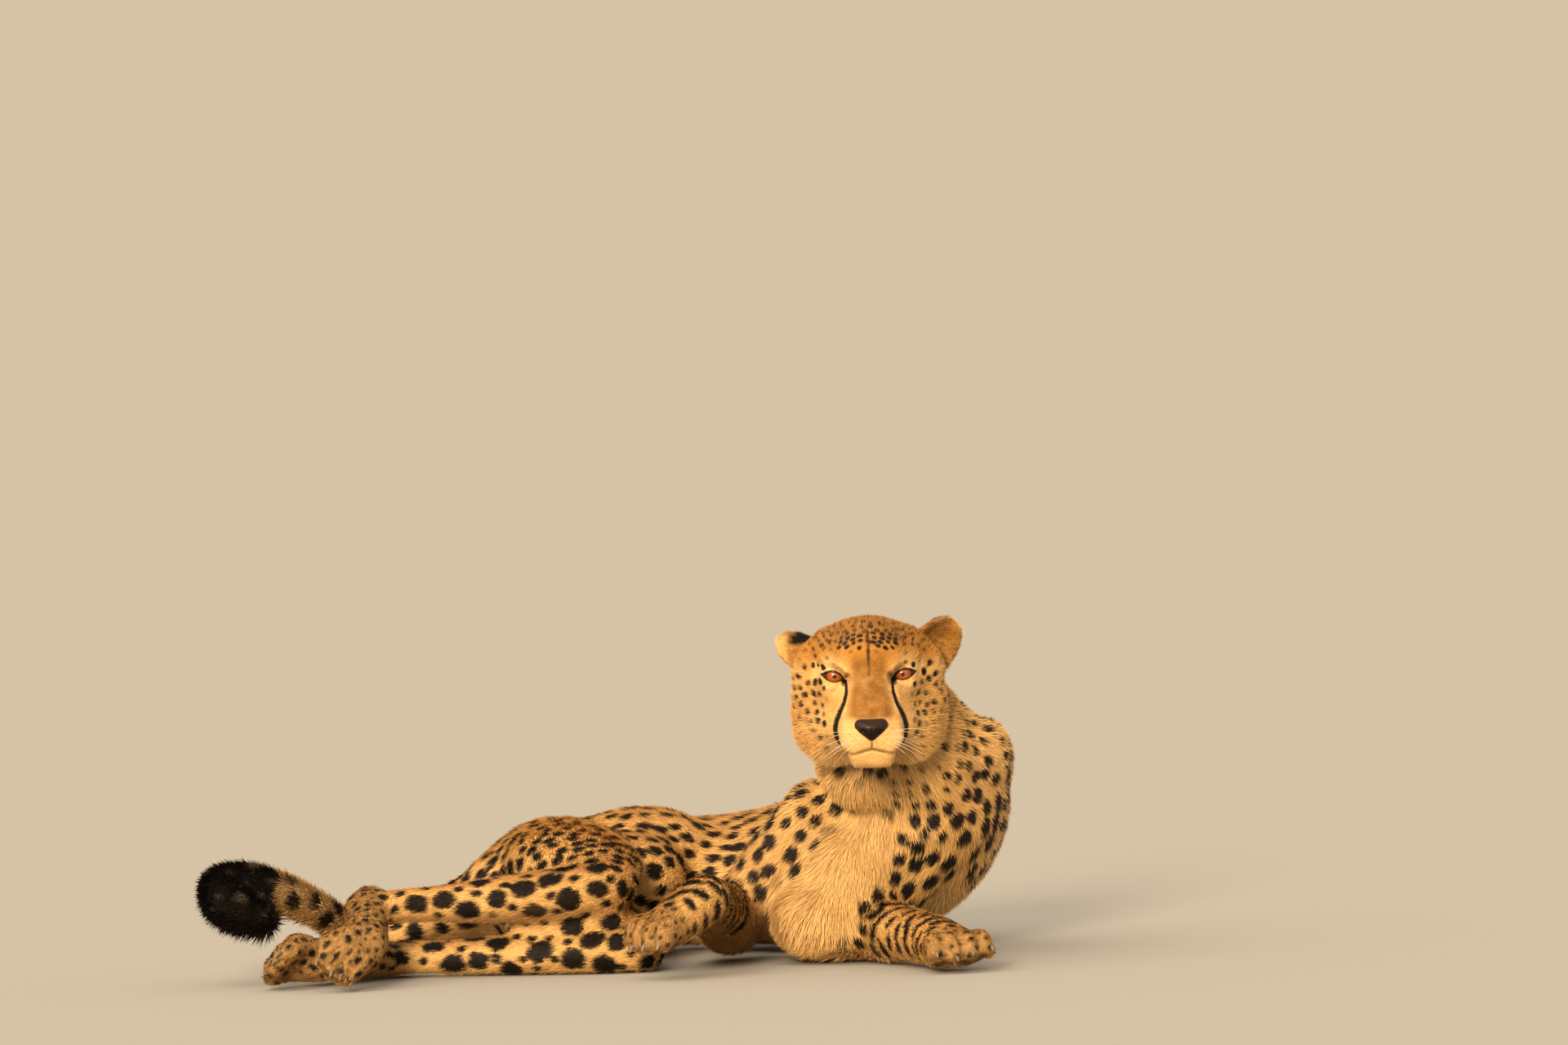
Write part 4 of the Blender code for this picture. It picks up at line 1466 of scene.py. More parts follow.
    def spotted(self, points: Array) -> Array:
        """How black the nearest spots make each place, from 0 to 1.

        Args:
            points: places on the coat.

        Returns:
            A share for each place.
        """
        wobble = ripple(points, 0.006, 3) - 0.5 + 0.5 * (ripple(points, 0.0028, 4) - 0.5)
        mark = np.zeros(len(points))
        nearest = np.full((len(points), 4), -1)
        find = self.tree.find_n
        for number, place in enumerate(points.tolist()):
            for rank, (_, spot, _) in enumerate(find(place, 4)):
                nearest[number, rank] = spot
        for rank in range(4):
            spot = self.spots[nearest[:, rank]]
            away = points - spot[:, :3]
            along = (away * spot[:, 3:6]).sum(axis=1)
            across2 = np.maximum((away**2).sum(axis=1) - along**2, 0.0)
            stretch = np.sqrt(spot[:, 7])
            gap = np.sqrt((along / stretch) ** 2 + across2 * stretch**2) / spot[:, 6]
            gap = gap + 0.34 * wobble
            soft = np.where(spot[:, 6] < 0.004, 0.20, 0.08)
            mark = np.maximum(mark, spot[:, 8] * ease(1.0, 0.0, (gap - 1 + soft) / (2 * soft)))
        return mark

    def face(self, points: Array, ground: Array) -> Array:
        """The ground colour of the face, with its pale patches, its dark lines, painted shade round the
        top of the nose pad and painted light in the pocket at each eye's inner corner.

        Args:
            points: places on the head.
            ground: the colours so far.

        Returns:
            A colour for each place.
        """
        local = self.head.local(points)
        side, up, ahead = np.abs(local[:, 0]), local[:, 1], local[:, 2]
        flat = np.stack([side, up], 1)
        front = ease(-0.03, 0.0, ahead)
        mottled = ripple(points, 0.007, 12)
        temple = swell(flat, (0.050, 0.004), (0.014, 0.014)) * front
        bridge = ease(0.024, 0.013, side + 0.16 * np.minimum(up, 0)) * ease(-0.040, -0.030, up)
        bridge = bridge * front * ease(0.034, 0.016, up)
        # Painted shade: a dark patch round the top of the nose pad, where it sits in the muzzle.
        painted_nose_shade = swell(flat, (0.0, -0.0345), (0.014, 0.006)) * front
        tear, tear_gap = self.tear(flat, front)
        ground = layered(ground, (
            (GOLD, 0.8 * ease(0.01, -0.03, up)),
            (OCHRE, 0.9 * ease(-0.004, 0.024, up)),
            (UMBER, 0.42 * ease(0.026, 0.044, up) * (0.4 + 0.9 * mottled)),
            (BROW, 0.55 * temple),
            (BROW, (0.62 + 0.38 * mottled) * bridge),
            (CREAM, self.pale_face(flat, ahead, front, tear_gap)),
            (SOOT, 0.40 * painted_nose_shade),
            (BLACK, np.maximum(tear, self.streak(points, flat) * front)),
            (SOOT, 0.75 * self.lips(flat, ahead)),
        ))
        for name, sign in EYES:
            away, opening = from_lids(points, name, sign)
            near = np.linalg.norm(away, axis=1) < 0.034
            ring = ease(0.0013, 0.0005, opening - 0.0006 * ease(-0.002, 0.003, away[:, 2])) * near
            glow = ease(0.0120, 0.0060, opening - 0.0025 * ease(0.0, 0.004, away[:, 2])) * near
            ground = layered(ground, ((CREAM, 0.95 * glow * (1 - tear)), (BLACK, ring)))
        return ground

    def tear(self, flat: Array, front: Array) -> tuple[Array, Array]:
        """The dark line from the eye's inner corner down to the mouth.

        Args:
            flat: places on the face, sideways and up.
            front: how far each place belongs to the front.

        Returns:
            How dark each place is, and its distance from the line.
        """
        gap, along = reach_to(flat, self.TEAR)
        width = (0.0014 + 0.0014 * along) * (1 - 0.35 * ease(0.86, 1.0, along))
        line = ease(1.35, 0.75, gap / width) * front
        side, up = flat.T
        duct = ease(0.0024, 0.0012, np.abs(up + 0.0032))
        duct = duct * ease(0.0215, 0.0230, side) * ease(0.030, 0.028, side)
        return np.maximum(line, duct * front), gap

    def pale_face(self, flat: Array, ahead: Array, front: Array, tear_gap: Array) -> Array:
        """How pale the face is: round the eyes, inside the tear lines, on the lips and the chin, with
        painted light in the deep pocket at each eye's inner corner.

        Args:
            flat: places on the face, sideways and up.
            ahead: how far ahead they lie.
            front: how far each place belongs to the front.
            tear_gap: the distance from the tear line.

        Returns:
            A share for each place.
        """
        side, up = flat.T
        inside = ease(0.037, 0.031, side) * ease(-0.031, -0.040, up) * front
        chin = ease(-0.056, -0.064, up) * ease(0.0, 0.02, ahead)
        edge = ease(0.0075, 0.0030, tear_gap) * (side > 0.024) * front
        # Painted light: the deep pocket at each eye's inner corner is made pale so that it does not
        # look shaded.
        pocket_painted_light = ease(0.0215, 0.0245, side) * ease(0.036, 0.031, side)
        pocket_painted_light = pocket_painted_light * ease(0.015, 0.009, np.abs(up - 0.003)) * ease(-0.01, 0.01, ahead)
        pale = np.clip(inside + chin, 0, 1)
        for share, patch in ((0.75, edge), (0.8, ease(-0.070, -0.085, up)), (0.85, pocket_painted_light)):
            pale = np.maximum(pale, share * patch)
        for share, middle, size in self.PALE:
            pale = np.maximum(pale, share * swell(flat, middle, size) * front)
        return pale

    def streak(self, points: Array, flat: Array) -> Array:
        """How dark the line up the middle of the forehead makes each place.

        Args:
            points: places on the head.
            flat: the same, sideways and up.

        Returns:
            A share for each place.
        """
        gap, high = reach_to(flat, self.STREAK)
        line = ease(0.0026, 0.0009, gap + 0.0020 * (ripple(points, 0.004, 8) - 0.5))
        return line * (0.45 + 0.45 * ease(0.10, 0.50, high)) * ease(0.052, 0.046, flat[:, 1])

    def lips(self, flat: Array, ahead: Array) -> Array:
        """How dark the lines of the lips and under the nose make each place.

        Args:
            flat: places on the face, sideways and up.
            ahead: how far ahead they lie.

        Returns:
            A share for each place.
        """
        mouth_gap, _ = reach_to(flat, Skin.LIP)
        philtrum_gap, _ = reach_to(flat, Skin.PHILTRUM)
        mouth = ease(0.0022, 0.0005, mouth_gap) * ease(0.01, 0.02, ahead)
        mouth = mouth * ease(0.026, 0.008, flat[:, 0])
        return np.maximum(mouth, ease(0.0013, 0.0005, philtrum_gap) * ease(0.03, 0.04, ahead))

    def colour(self, points: Array, values: dict[str, Array], normals: Array) -> Array:
        """The coat's colour, with its painted light and shade on the face and the tail brush.

        Args:
            points: places on the coat.
            values: the skin's values there.
            normals: the outward directions there.

        Returns:
            A colour for each place.
        """
        broad = ripple(points, 0.05, 1)
        paw, arm, tail, brush = (
            np.clip(values[name], 0, 1) for name in ("is_paw", "is_arm", "is_tail", "is_brush"))
        back = ease(0.55, 0.95, normals[:, 2]) * (1 - values["is_head"])
        pale = self.pale(points, normals) * (1 - values["is_brush"])
        pale = pale * (1 - 0.75 * np.clip(values["is_arm"] + values["is_paw"], 0, 1))
        ground = layered(np.tile(HONEY, (len(points), 1)), (
            (TAWNY, 0.04 + 0.30 * broad),
            (TAWNY, 0.22 * back),
            (UMBER, 0.62 * paw),
            (UMBER, 0.08 * arm),
            (GREY, 0.80 * tail),
            (CREAM, pale),
        ))
        ground = np.where((values["is_head"] > 0.5)[:, None], self.face(points, ground), ground)
        # Painted sheen: the black tail brush turns grey in random patches, only where it faces up
        # towards the light.
        patchy_top_sheen = ease(0.62, 0.80, ripple(points, 0.011, 5)) * ease(0.2, 0.7, normals[:, 2])
        ground = layered(ground, (
            (blend(BLACK[None], SOOT[None], 0.3 * broad), self.spotted(points)),
            (blend(BLACK[None], SHEEN_GREY[None], 0.7 * patchy_top_sheen), ease(0.25, 0.60, brush)),
        ))
        return self.ears(points, values, ground)

    def ears(self, points: Array, values: dict[str, Array], ground: Array) -> Array:
        """Gold inside, and outside a black patch with a pale edge.

        Args:
            points: places on the coat.
            values: the skin's values there.
            ground: the colours so far.

        Returns:
            A colour for each place.
        """
        ear = values["part"] >= NUMBER[EARS[0]]
        inner, height = values["inner"], values["rim"]
        fleck = ease(0.52, 0.70, ripple(points, 0.0035, 6)) * ease(0.80, 0.45, height)
        inside = layered(np.tile(GOLD, (len(points), 1)), (
            (TAWNY, 0.9 * ripple(points, 0.01, 7)),
            (UMBER, 0.65 * fleck),
            (HONEY, 0.8 * ease(0.78, 0.92, height)),
        ))
        outside = layered(np.tile(TAWNY, (len(points), 1)), (
            (BLACK, ease(0.26, 0.40, height) * ease(0.90, 0.78, height)),
            (CREAM, ease(0.84, 0.93, height)),
        ))
        both = blend(outside, inside, np.clip(inner, 0, 1))
        middle, size, (cosine, sine) = self.EAR_PATCH
        local = self.head.local(points)
        side, up = local[:, 0] - middle[0], local[:, 1] - middle[1]
        along, over = side * cosine + up * sine, up * cosine - side * sine
        oval = np.hypot(along / size[0], over / size[1]) + 0.35 * (ripple(points, 0.005, 14) - 0.5)
        turned = layered(np.tile(GOLD, (len(points), 1)), (
            (TAWNY, 0.8 * ripple(points, 0.008, 7)),
            (BLACK, ease(1.15, 0.85, oval)),
            (HONEY, 0.8 * ease(-0.080, -0.086, local[:, 0])),
        ))
        right = values["part"] == NUMBER["ear_right"]
        both = np.where((right & (inner < 0.5))[:, None], turned, both)
        return np.where(ear[:, None], both, ground)


# ------------ the coat
class Lock(Enum):
    """The two shapes of tuft."""

    SHORT = "short"
    LONG = "long"

    def mesh(self) -> Mesh:
        """A tuft one unit long and wide, rooted at the origin and pointing up.

        Returns:
            The tuft.
        """
        if self is Lock.SHORT:
            points = [(-0.5, -0.1, 0), (0.5, -0.1, 0), (0, 0.36, 0), (0, 0, 1)]
            faces = [(0, 1, 3), (1, 2, 3), (2, 0, 3), (2, 1, 0)]
            along = [0, 0, 0, 1]
        else:
            points = [(-0.5, -0.1, 0), (0.5, -0.1, 0), (0, 0.4, 0),
                      (-0.38, 0.5, 0.5), (0.38, 0.5, 0.5), (0, 0.85, 0.5), (0, -0.7, 1)]
            faces = [(0, 1, 4), (0, 4, 3), (1, 2, 5), (1, 5, 4), (2, 0, 3), (2, 3, 5),
                     (3, 4, 6), (4, 5, 6), (5, 3, 6), (2, 1, 0)]
            along = [0, 0, 0, 0.5, 0.5, 0.5, 1]
        mesh = bpy.data.meshes.new(f"lock_{self.value}")
        mesh.from_pydata(points, [], faces)
        mesh.update()
        store(mesh, "along", np.array(along, float))
        spread = np.array(points, float)
        spread[:, 2] -= 0.5
        store(mesh, "spread", spread[:, [0, 2, 1]] * np.array([1.0, 1.0, 0.0]))
        return mesh


class TuftTree:
    """The Geometry Nodes tree that sets a tuft on each root and lays out its bake map."""

    PATCH = 0.003

    def __init__(self) -> None:
        """Builds the tree once."""
        tree = bpy.data.node_groups.new("grow_tufts", "GeometryNodeTree")
        face = tree.interface
        face.new_socket("Roots", in_out="INPUT", socket_type="NodeSocketGeometry")
        lock = face.new_socket("Lock", in_out="INPUT", socket_type="NodeSocketObject")
        patch = face.new_socket("Patch", in_out="INPUT", socket_type="NodeSocketFloat")
        finish = face.new_socket("Finish", in_out="INPUT", socket_type="NodeSocketMaterial")
        face.new_socket("Coat", in_out="OUTPUT", socket_type="NodeSocketGeometry")
        self.lock, self.patch, self.finish = (s.identifier for s in (lock, patch, finish))
        self.tree = tree
        start = self.add("NodeGroupInput").outputs
        info = self.add("GeometryNodeObjectInfo", Object=start["Lock"])
        euler = self.add("FunctionNodeEulerToRotation", Euler=self.named("turn"))
        place = self.add("GeometryNodeInstanceOnPoints", Points=start["Roots"],
                         Instance=info.outputs["Geometry"], Rotation=euler.outputs["Rotation"],
                         Scale=self.named("size"))
        real = self.add("GeometryNodeRealizeInstances", Geometry=place.outputs["Instances"])
        spread = self.add("ShaderNodeVectorMath")
        spread.operation = "SCALE"
        tree.links.new(self.named("spread"), spread.inputs[0])
        tree.links.new(start["Patch"], spread.inputs["Scale"])
        total = self.add("ShaderNodeVectorMath")
        total.operation = "ADD"
        tree.links.new(self.named("root_map"), total.inputs[0])
        tree.links.new(spread.outputs["Vector"], total.inputs[1])
        write = self.add("GeometryNodeStoreNamedAttribute", Geometry=real.outputs["Geometry"])
        write.data_type = "FLOAT2"
        write.domain = "CORNER"
        write.inputs["Name"].default_value = "OFBake"
        value = next(s for s in write.inputs if s.name == "Value" and s.enabled)
        tree.links.new(total.outputs["Vector"], value)
        wear = self.add("GeometryNodeSetMaterial", Geometry=write.outputs["Geometry"],
                        Material=start["Finish"])
        self.add("NodeGroupOutput", Coat=wear.outputs["Geometry"])

    def add(self, kind: str, **sources: Socket) -> bpy.types.Node:
        """Adds a node.

        Args:
            kind: Blender's name for the kind of node.
            sources: what goes into its inputs.

        Returns:
            The node.
        """
        made = self.tree.nodes.new(kind)
        for name, source in sources.items():
            self.tree.links.new(source, made.inputs[name])
        return made

    def named(self, name: str) -> Socket:
        """Reads a stored vector of the roots or of the tuft.

        Args:
            name: the vector's name.

        Returns:
            The vector.
        """
        node = self.add("GeometryNodeInputNamedAttribute")
        node.data_type = "FLOAT_VECTOR"
        node.inputs["Name"].default_value = name
        return next(s for s in node.outputs if s.name == "Attribute" and s.enabled)

    def grow(self, roots: Object, lock: Object,
             finish: Material) -> Mesh:
        """Grows the tufts on an object's points and returns them as a plain mesh.

        Args:
            roots: an object with a vertex for each root.
            lock: the tuft.
            finish: the material.

        Returns:
            The tufts.
        """
        made = roots.modifiers.new("tufts", "NODES")
        made.node_group = self.tree
        made[self.lock] = lock
        made[self.patch] = self.PATCH
        made[self.finish] = finish
        mesh = settled(roots)
        for name in ("turn", "size", "spread", "root_map"):
            if name in mesh.attributes:
                mesh.attributes.remove(mesh.attributes[name])
        return mesh


@dataclass
class Coat:
    """All the tufts of the body, part by part.

    Attributes:
        skin_map: the places of each triangle's corners on the skin's map.
        limit: the most short tufts in a piece.
        long_limit: the most long tufts in a piece.
        fullness: the share of the zones' tufts that grow.
        under_crowd: the share that grows where the body lies on the floor.
        face_crowd: how much closer tufts stand on the face.
        root_sink: how deep roots lie in the skin.
        clearance: how far tips stay over the floor.
        shortest: the least length of a tuft.
    """

    head: Head
    surface: Surface
    flow: Array
    markings: Markings
    skin_map: Array
    finish: Material
    limit: int = 46000
    long_limit: int = 19500
    fullness: float = 0.94
    under_crowd: float = 0.1
    face_crowd: float = 1.7
    root_sink: float = 0.0007
    clearance: float = 0.0006
    shortest: float = 0.001

    def roots(self) -> dict[str, Array]:
        """Throws roots over the skin and gives each one its place, directions and values.

        Returns:
            A row for each root under each name.
        """
        random = np.random.default_rng(SEED + 1)
        surface = self.surface
        areas = surface.areas() / CENTIMETRE**2
        triangles = surface.triangles
        crowd = surface.values["crowd"][triangles].mean(axis=1)
        middle = surface.points[triangles].mean(axis=1)
        normal = surface.normals()[triangles].mean(axis=1)
        hidden = (middle[:, 2] < 0.007) & (normal[:, 2] < -0.75)
        crowd = np.where(hidden, crowd * self.under_crowd, crowd) * self.bare(middle)
        local = self.head.local(middle)
        face = (np.abs(local[:, 0]) < 0.055) & (local[:, 2] > -0.01) & (local[:, 1] > -0.09)
        crowd = crowd * np.where(face & (middle[:, 2] > 0.2), self.face_crowd, 1.0)
        wanted = areas * crowd * self.fullness
        count = np.floor(wanted + random.random(len(wanted))).astype(int)
        owner = np.repeat(np.arange(len(triangles)), count)
        first, second = random.random(len(owner)), random.random(len(owner))
        flip = first + second > 1
        first, second = np.where(flip, 1 - first, first), np.where(flip, 1 - second, second)
        shares = np.stack([1 - first - second, first, second], 1)
        corner = triangles[owner]

        def spread(values: Array) -> Array:
            """The values at the roots from those at the corners of their triangles.

            Args:
                values: a row for each point of the skin.

            Returns:
                A row for each root.
            """
            picked = values[corner]
            if picked.ndim == 2:
                return (picked * shares).sum(axis=1)
            return (picked * shares[:, :, None]).sum(axis=1)

        found = {name: spread(values) for name, values in surface.values.items()}
        found["part"] = surface.values["part"][corner[:, 0]]
        found["place"] = spread(surface.points)
        found["normal"] = unit(spread(surface.normals()))
        found["flow"] = unit(spread(self.flow))
        found["map"] = (self.skin_map[owner] * shares[:, :, None]).sum(axis=1)
        return found

    def bare(self, points: Array) -> Array:
        """One where hair grows, and nought on the eyes and the nose pad.

        Args:
            points: places on the skin.

        Returns:
            A share for each place.
        """
        share = np.ones(len(points))
        for name, sign in EYES:
            share = np.where(self.lid_gap(points, name, sign) < 0.0011, 0.0, share)
        local = (self.head.local(points) - np.array(NosePad.middle)) / np.array(NosePad.half)
        inside = (local[:, :2] ** 2).sum(axis=1) < 0.86
        return np.where(inside & (local[:, 2] > -0.6), 0.0, share)

    def lid_gap(self, points: Array, name: str, sign: int) -> Array:
        """How far places lie from the edge of one eye's lids, or 1 away from the eye."""
        away, opening = from_lids(points, name, sign)
        return np.where(np.linalg.norm(away, axis=1) < 0.04, opening, 1.0)

    def shape(self, roots: dict[str, Array]) -> dict[str, Array]:
        """Gives each root a direction, a size and a colour.

        Args:
            roots: what roots() gives.

        Returns:
            What the tufts' tree reads, a row for each root.
        """
        random = np.random.default_rng(SEED + 2)
        count = len(roots["place"])
        pale = np.clip(roots["pale"], 0, 1) * (1 - roots["is_head"])
        local = self.head.local(roots["place"])
        cheek = roots["is_head"] * ease(-0.03, -0.075, local[:, 1]) * ease(0.05, 0.0, local[:, 2])
        hair = roots["hair"] * (1 + 0.55 * pale + 0.9 * cheek)
        middle = ease(0.036, 0.026, np.abs(local[:, 0])) * ease(-0.02, 0.01, local[:, 2])
        muzzle = roots["is_head"] * np.maximum(0.55 * ease(0.0, 0.03, local[:, 2]), 0.62 * middle)
        lids = np.minimum(*(self.lid_gap(roots["place"], name, sign)
                            for name, sign in EYES))
        short = np.minimum(1 - muzzle, 0.30 + 0.70 * ease(0.001, 0.016, lids))
        hair = hair * short * random.uniform(0.7, 1.25, count)
        width = roots["width"] * random.uniform(0.75, 1.25, count) * (0.55 + 0.45 * short)
        lift = np.radians(roots["lift"] * random.uniform(0.5, 1.6, count))
        flow = roots["flow"]
        across = np.cross(roots["normal"], flow)
        swirl = ripple(roots["place"], 0.02, 4) - 0.5
        flow = unit(flow + across * (random.normal(0, 0.16, count) + 0.28 * swirl)[:, None])
        flow = unit(flow - np.array([0, 0, 0.35]) * pale[:, None])
        flow = unit(flow - roots["normal"] * (flow * roots["normal"]).sum(axis=1)[:, None])
        onward = flow * np.cos(lift)[:, None] + roots["normal"] * np.sin(lift)[:, None]
        side = unit(np.cross(onward, roots["normal"]))
        over = np.cross(onward, side)
        place = roots["place"] - roots["normal"] * self.root_sink
        tip = place[:, 2] + onward[:, 2] * hair
        drop = -np.minimum(onward[:, 2], -0.02)
        room = np.where(onward[:, 2] < -0.02, (place[:, 2] - self.clearance) / drop, 1)
        cropped = np.clip(np.minimum(hair, room), self.shortest, None)
        hair = np.where(tip < self.clearance, cropped, hair)
        matrix = np.stack([side, over, onward], axis=2)
        pitch = -np.arcsin(np.clip(matrix[:, 2, 0], -1, 1))
        roll = np.arctan2(matrix[:, 2, 1], matrix[:, 2, 2])
        yaw = np.arctan2(matrix[:, 1, 0], matrix[:, 0, 0])
        seen = [place + onward * (hair * share)[:, None] for share in (0.58, 0.95)]
        low, tint = (self.markings.colour(spot, roots, roots["normal"]) for spot in seen)
        light = random.uniform(0.78, 1.18, count) * (0.88 + 0.24 * ripple(place, 0.009, 9))
        return {
            "place": place,
            "turn": np.stack([roll, pitch, yaw], 1),
            "size": np.stack([width, width, hair], 1),
            "root_map": np.column_stack([roots["map"], np.zeros(count)]),
            "tint": opaque(tint * light[:, None]),
            "root_tint": opaque(low * light[:, None]),
        }

    def groups(self, roots: dict[str, Array]) -> dict[str, Array]:
        """Sorts the roots into named pieces, each small enough to keep whole.

        Args:
            roots: what roots() gives.

        Returns:
            Which roots each piece has.
        """
        part = roots["part"]
        local = self.head.local(roots["place"])

        def of(*members: str) -> Array:
            """Which roots stand on the named parts."""
            return np.isin(part, [NUMBER[name] for name in members])

        chest = of("chest")
        line = within("chest", (0.56, 0.5, 0.5))[0]
        front, inner = local[:, 2] > -0.008, np.abs(local[:, 0]) < 0.030
        found = {
            "coat_bridge": of("head") & front & inner,
            "coat_face": of("head") & front & ~inner,
            "coat_crown": of("head") & ~front,
            "coat_ears": of(*EARS),
            "coat_neck": of("neck"),
            "coat_flank": chest & (roots["place"][:, 0] < line),
            "coat_shoulder": chest & (roots["place"][:, 0] >= line),
            "coat_loin": of("loin"),
            "coat_rump": of("rump"),
            "coat_tail": of("tail_root", "tail_bend", "tail_rise", "tail_brush"),
        }
        for side in ("right", "left"):
            found[f"coat_hind_{side}"] = of(f"thigh_{side}", f"shank_{side}", f"hindfoot_{side}")
            found[f"coat_fore_{side}"] = of(f"forearm_{side}", f"forepaw_{side}")
        return found

    def build(self) -> list[Object]:
        """Grows every piece of the coat.

        Returns:
            The pieces.
        """
        tree = TuftTree()
        roots = self.roots()
        shape = self.shape(roots)
        locks = {lock: stand(f"lock_{lock.value}", lock.mesh()) for lock in Lock}
        made = []
        for name, chosen in self.groups(roots).items():
            numbers = np.flatnonzero(chosen)
            long = name == "coat_tail"
            lock = Lock.LONG if long else Lock.SHORT
            limit = self.long_limit if long else self.limit
            if len(numbers) > limit:
                LOG.warning("%s has %d tufts, thinned to %d", name, len(numbers), limit)
                numbers = np.sort(np.random.default_rng(SEED).permutation(numbers)[:limit])
            mesh = bpy.data.meshes.new(f"{name}_roots")
            mesh.from_pydata(shape["place"][numbers].tolist(), [], [])
            for value in ("turn", "size", "root_map", "tint", "root_tint"):
                store(mesh, value, shape[value][numbers])
            holder = stand(f"{name}_roots", mesh)
            grown = tree.grow(holder, locks[lock], self.finish)
            discard(holder)
            grown.name = name
            piece = stand(name, grown)
            dress(piece, self.finish)
            made.append(piece)
            LOG.info("%s: %d tufts, %d faces", name, len(numbers), len(grown.polygons))
        for lock in locks.values():
            discard(lock)
        return made


# ------------ the face's own pieces
@dataclass
class Eye:
    """One eye: a ball with an amber iris, and the dark wet edge of its lids."""

    name: str
    sign: int
    shape: EyeShape = EyeShape()
    iris: float = 0.0090
    pupil: float = 0.0021
    bulge: float = 0.0010
    inset: float = 0.0003
    sides: int = 96
    rings: int = 60
    thin_rim: float = 0.00042
    thick_rim: float = 0.00090

    AMBER, GOLD, RUST = paint(142, 68, 18), paint(164, 88, 26), paint(70, 28, 9)
    DARK, WHITE, RIM = paint(16, 8, 5), paint(96, 62, 44), paint(20, 12, 9)

    def ball(self) -> tuple[Array, Array, Array]:
        """The eyeball's points, faces and colours, finest over the iris.

        Returns:
            Its vertices, its triangles and a colour for each vertex.
        """
        centre = middle_of(self.name)
        radius = self.shape.radius - self.inset
        sides, rings = self.sides, self.rings
        share = np.linspace(0, 1, rings) ** 1.4
        tilt = share * math.pi
        angles = np.arange(sides) * math.tau / sides
        points, colours = [], []
        random = np.random.default_rng(SEED + 5)
        fibre = random.uniform(0, 1, sides)
        fibre = (fibre + np.roll(fibre, 1)) / 2
        for turn in tilt:
            out, deep = math.sin(turn) * radius, math.cos(turn) * radius
            lens = self.bulge * max(0.0, 1 - (out / (self.iris * 1.05)) ** 2) if deep > 0 else 0.0
            ring = np.stack([np.cos(angles) * out, np.full(sides, -(deep + lens)),
                             np.sin(angles) * out], 1)
            points.append(ring + centre)
            colours.append(self.paint(out if deep > 0 else 1.0, fibre))
        faces = []
        for number in range(rings - 1):
            low, high = number * sides, (number + 1) * sides
            for step in range(sides):
                after = (step + 1) % sides
                faces.append((low + step, low + after, high + after))
                faces.append((low + step, high + after, high + step))
        return np.vstack(points), np.array(faces), np.vstack(colours)

    def paint(self, out: float, fibre: Array) -> Array:
        """The colours of one ring of the eye at a distance from its middle.

        Args:
            out: the ring's distance from the middle.
            fibre: how light each of its places is.

        Returns:
            A colour for each place.
        """
        share = np.full(len(fibre), (out - self.pupil) / (self.iris - self.pupil))
        iris = layered(np.tile(self.GOLD, (len(fibre), 1)), (
            (self.AMBER, ease(0.0, 0.55, share)),
            (self.RUST, ease(0.55, 1.0, share)),
        ))
        return layered(iris * (0.78 + 0.44 * fibre)[:, None], (
            (self.DARK, ease(0.08, -0.04, share)),
            (self.DARK, ease(0.93, 1.02, share)),
            (self.WHITE, ease(1.08, 1.3, share)),
        ))

    def rim(self) -> tuple[Array, Array]:
        """The edge of the lids, as a soft tube laid on the eyeball.

        Returns:
            Points and triangles.
        """
        centre = middle_of(self.name)
        flat = self.shape.contour()
        reach = (self.shape.radius + 0.0004) ** 2 - (flat**2).sum(axis=1)
        deep = np.sqrt(np.maximum(reach, 1e-6))
        path = centre + np.stack([flat[:, 0] * self.sign, -deep, flat[:, 1]], 1)
        upper = ease(-0.004, 0.004, flat[:, 1])
        radii = self.thin_rim + (self.thick_rim - self.thin_rim) * upper
        return sweep(path, radii, 10, closed=True)

    def build(self, wet: Material, lid: Material) -> None:
        """Builds the eye and its rim in place of the frame's eye.

        Args:
            wet: the ball's material.
            lid: the rim's material.
        """
        points, faces, colours = self.ball()
        mesh = closed_mesh(f"{self.name}ball", points, faces, colours)
        ball = dress(stand(f"{self.name}ball", mesh), wet)
        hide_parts(self.name)
        points, faces = self.rim()
        mesh = closed_mesh(f"{self.name}_rim", points, faces, np.tile(self.RIM, (len(points), 1)))
        dress(stand(f"{self.name}_rim", mesh), lid)
        LOG.info("%s: ball and rim", self.name)


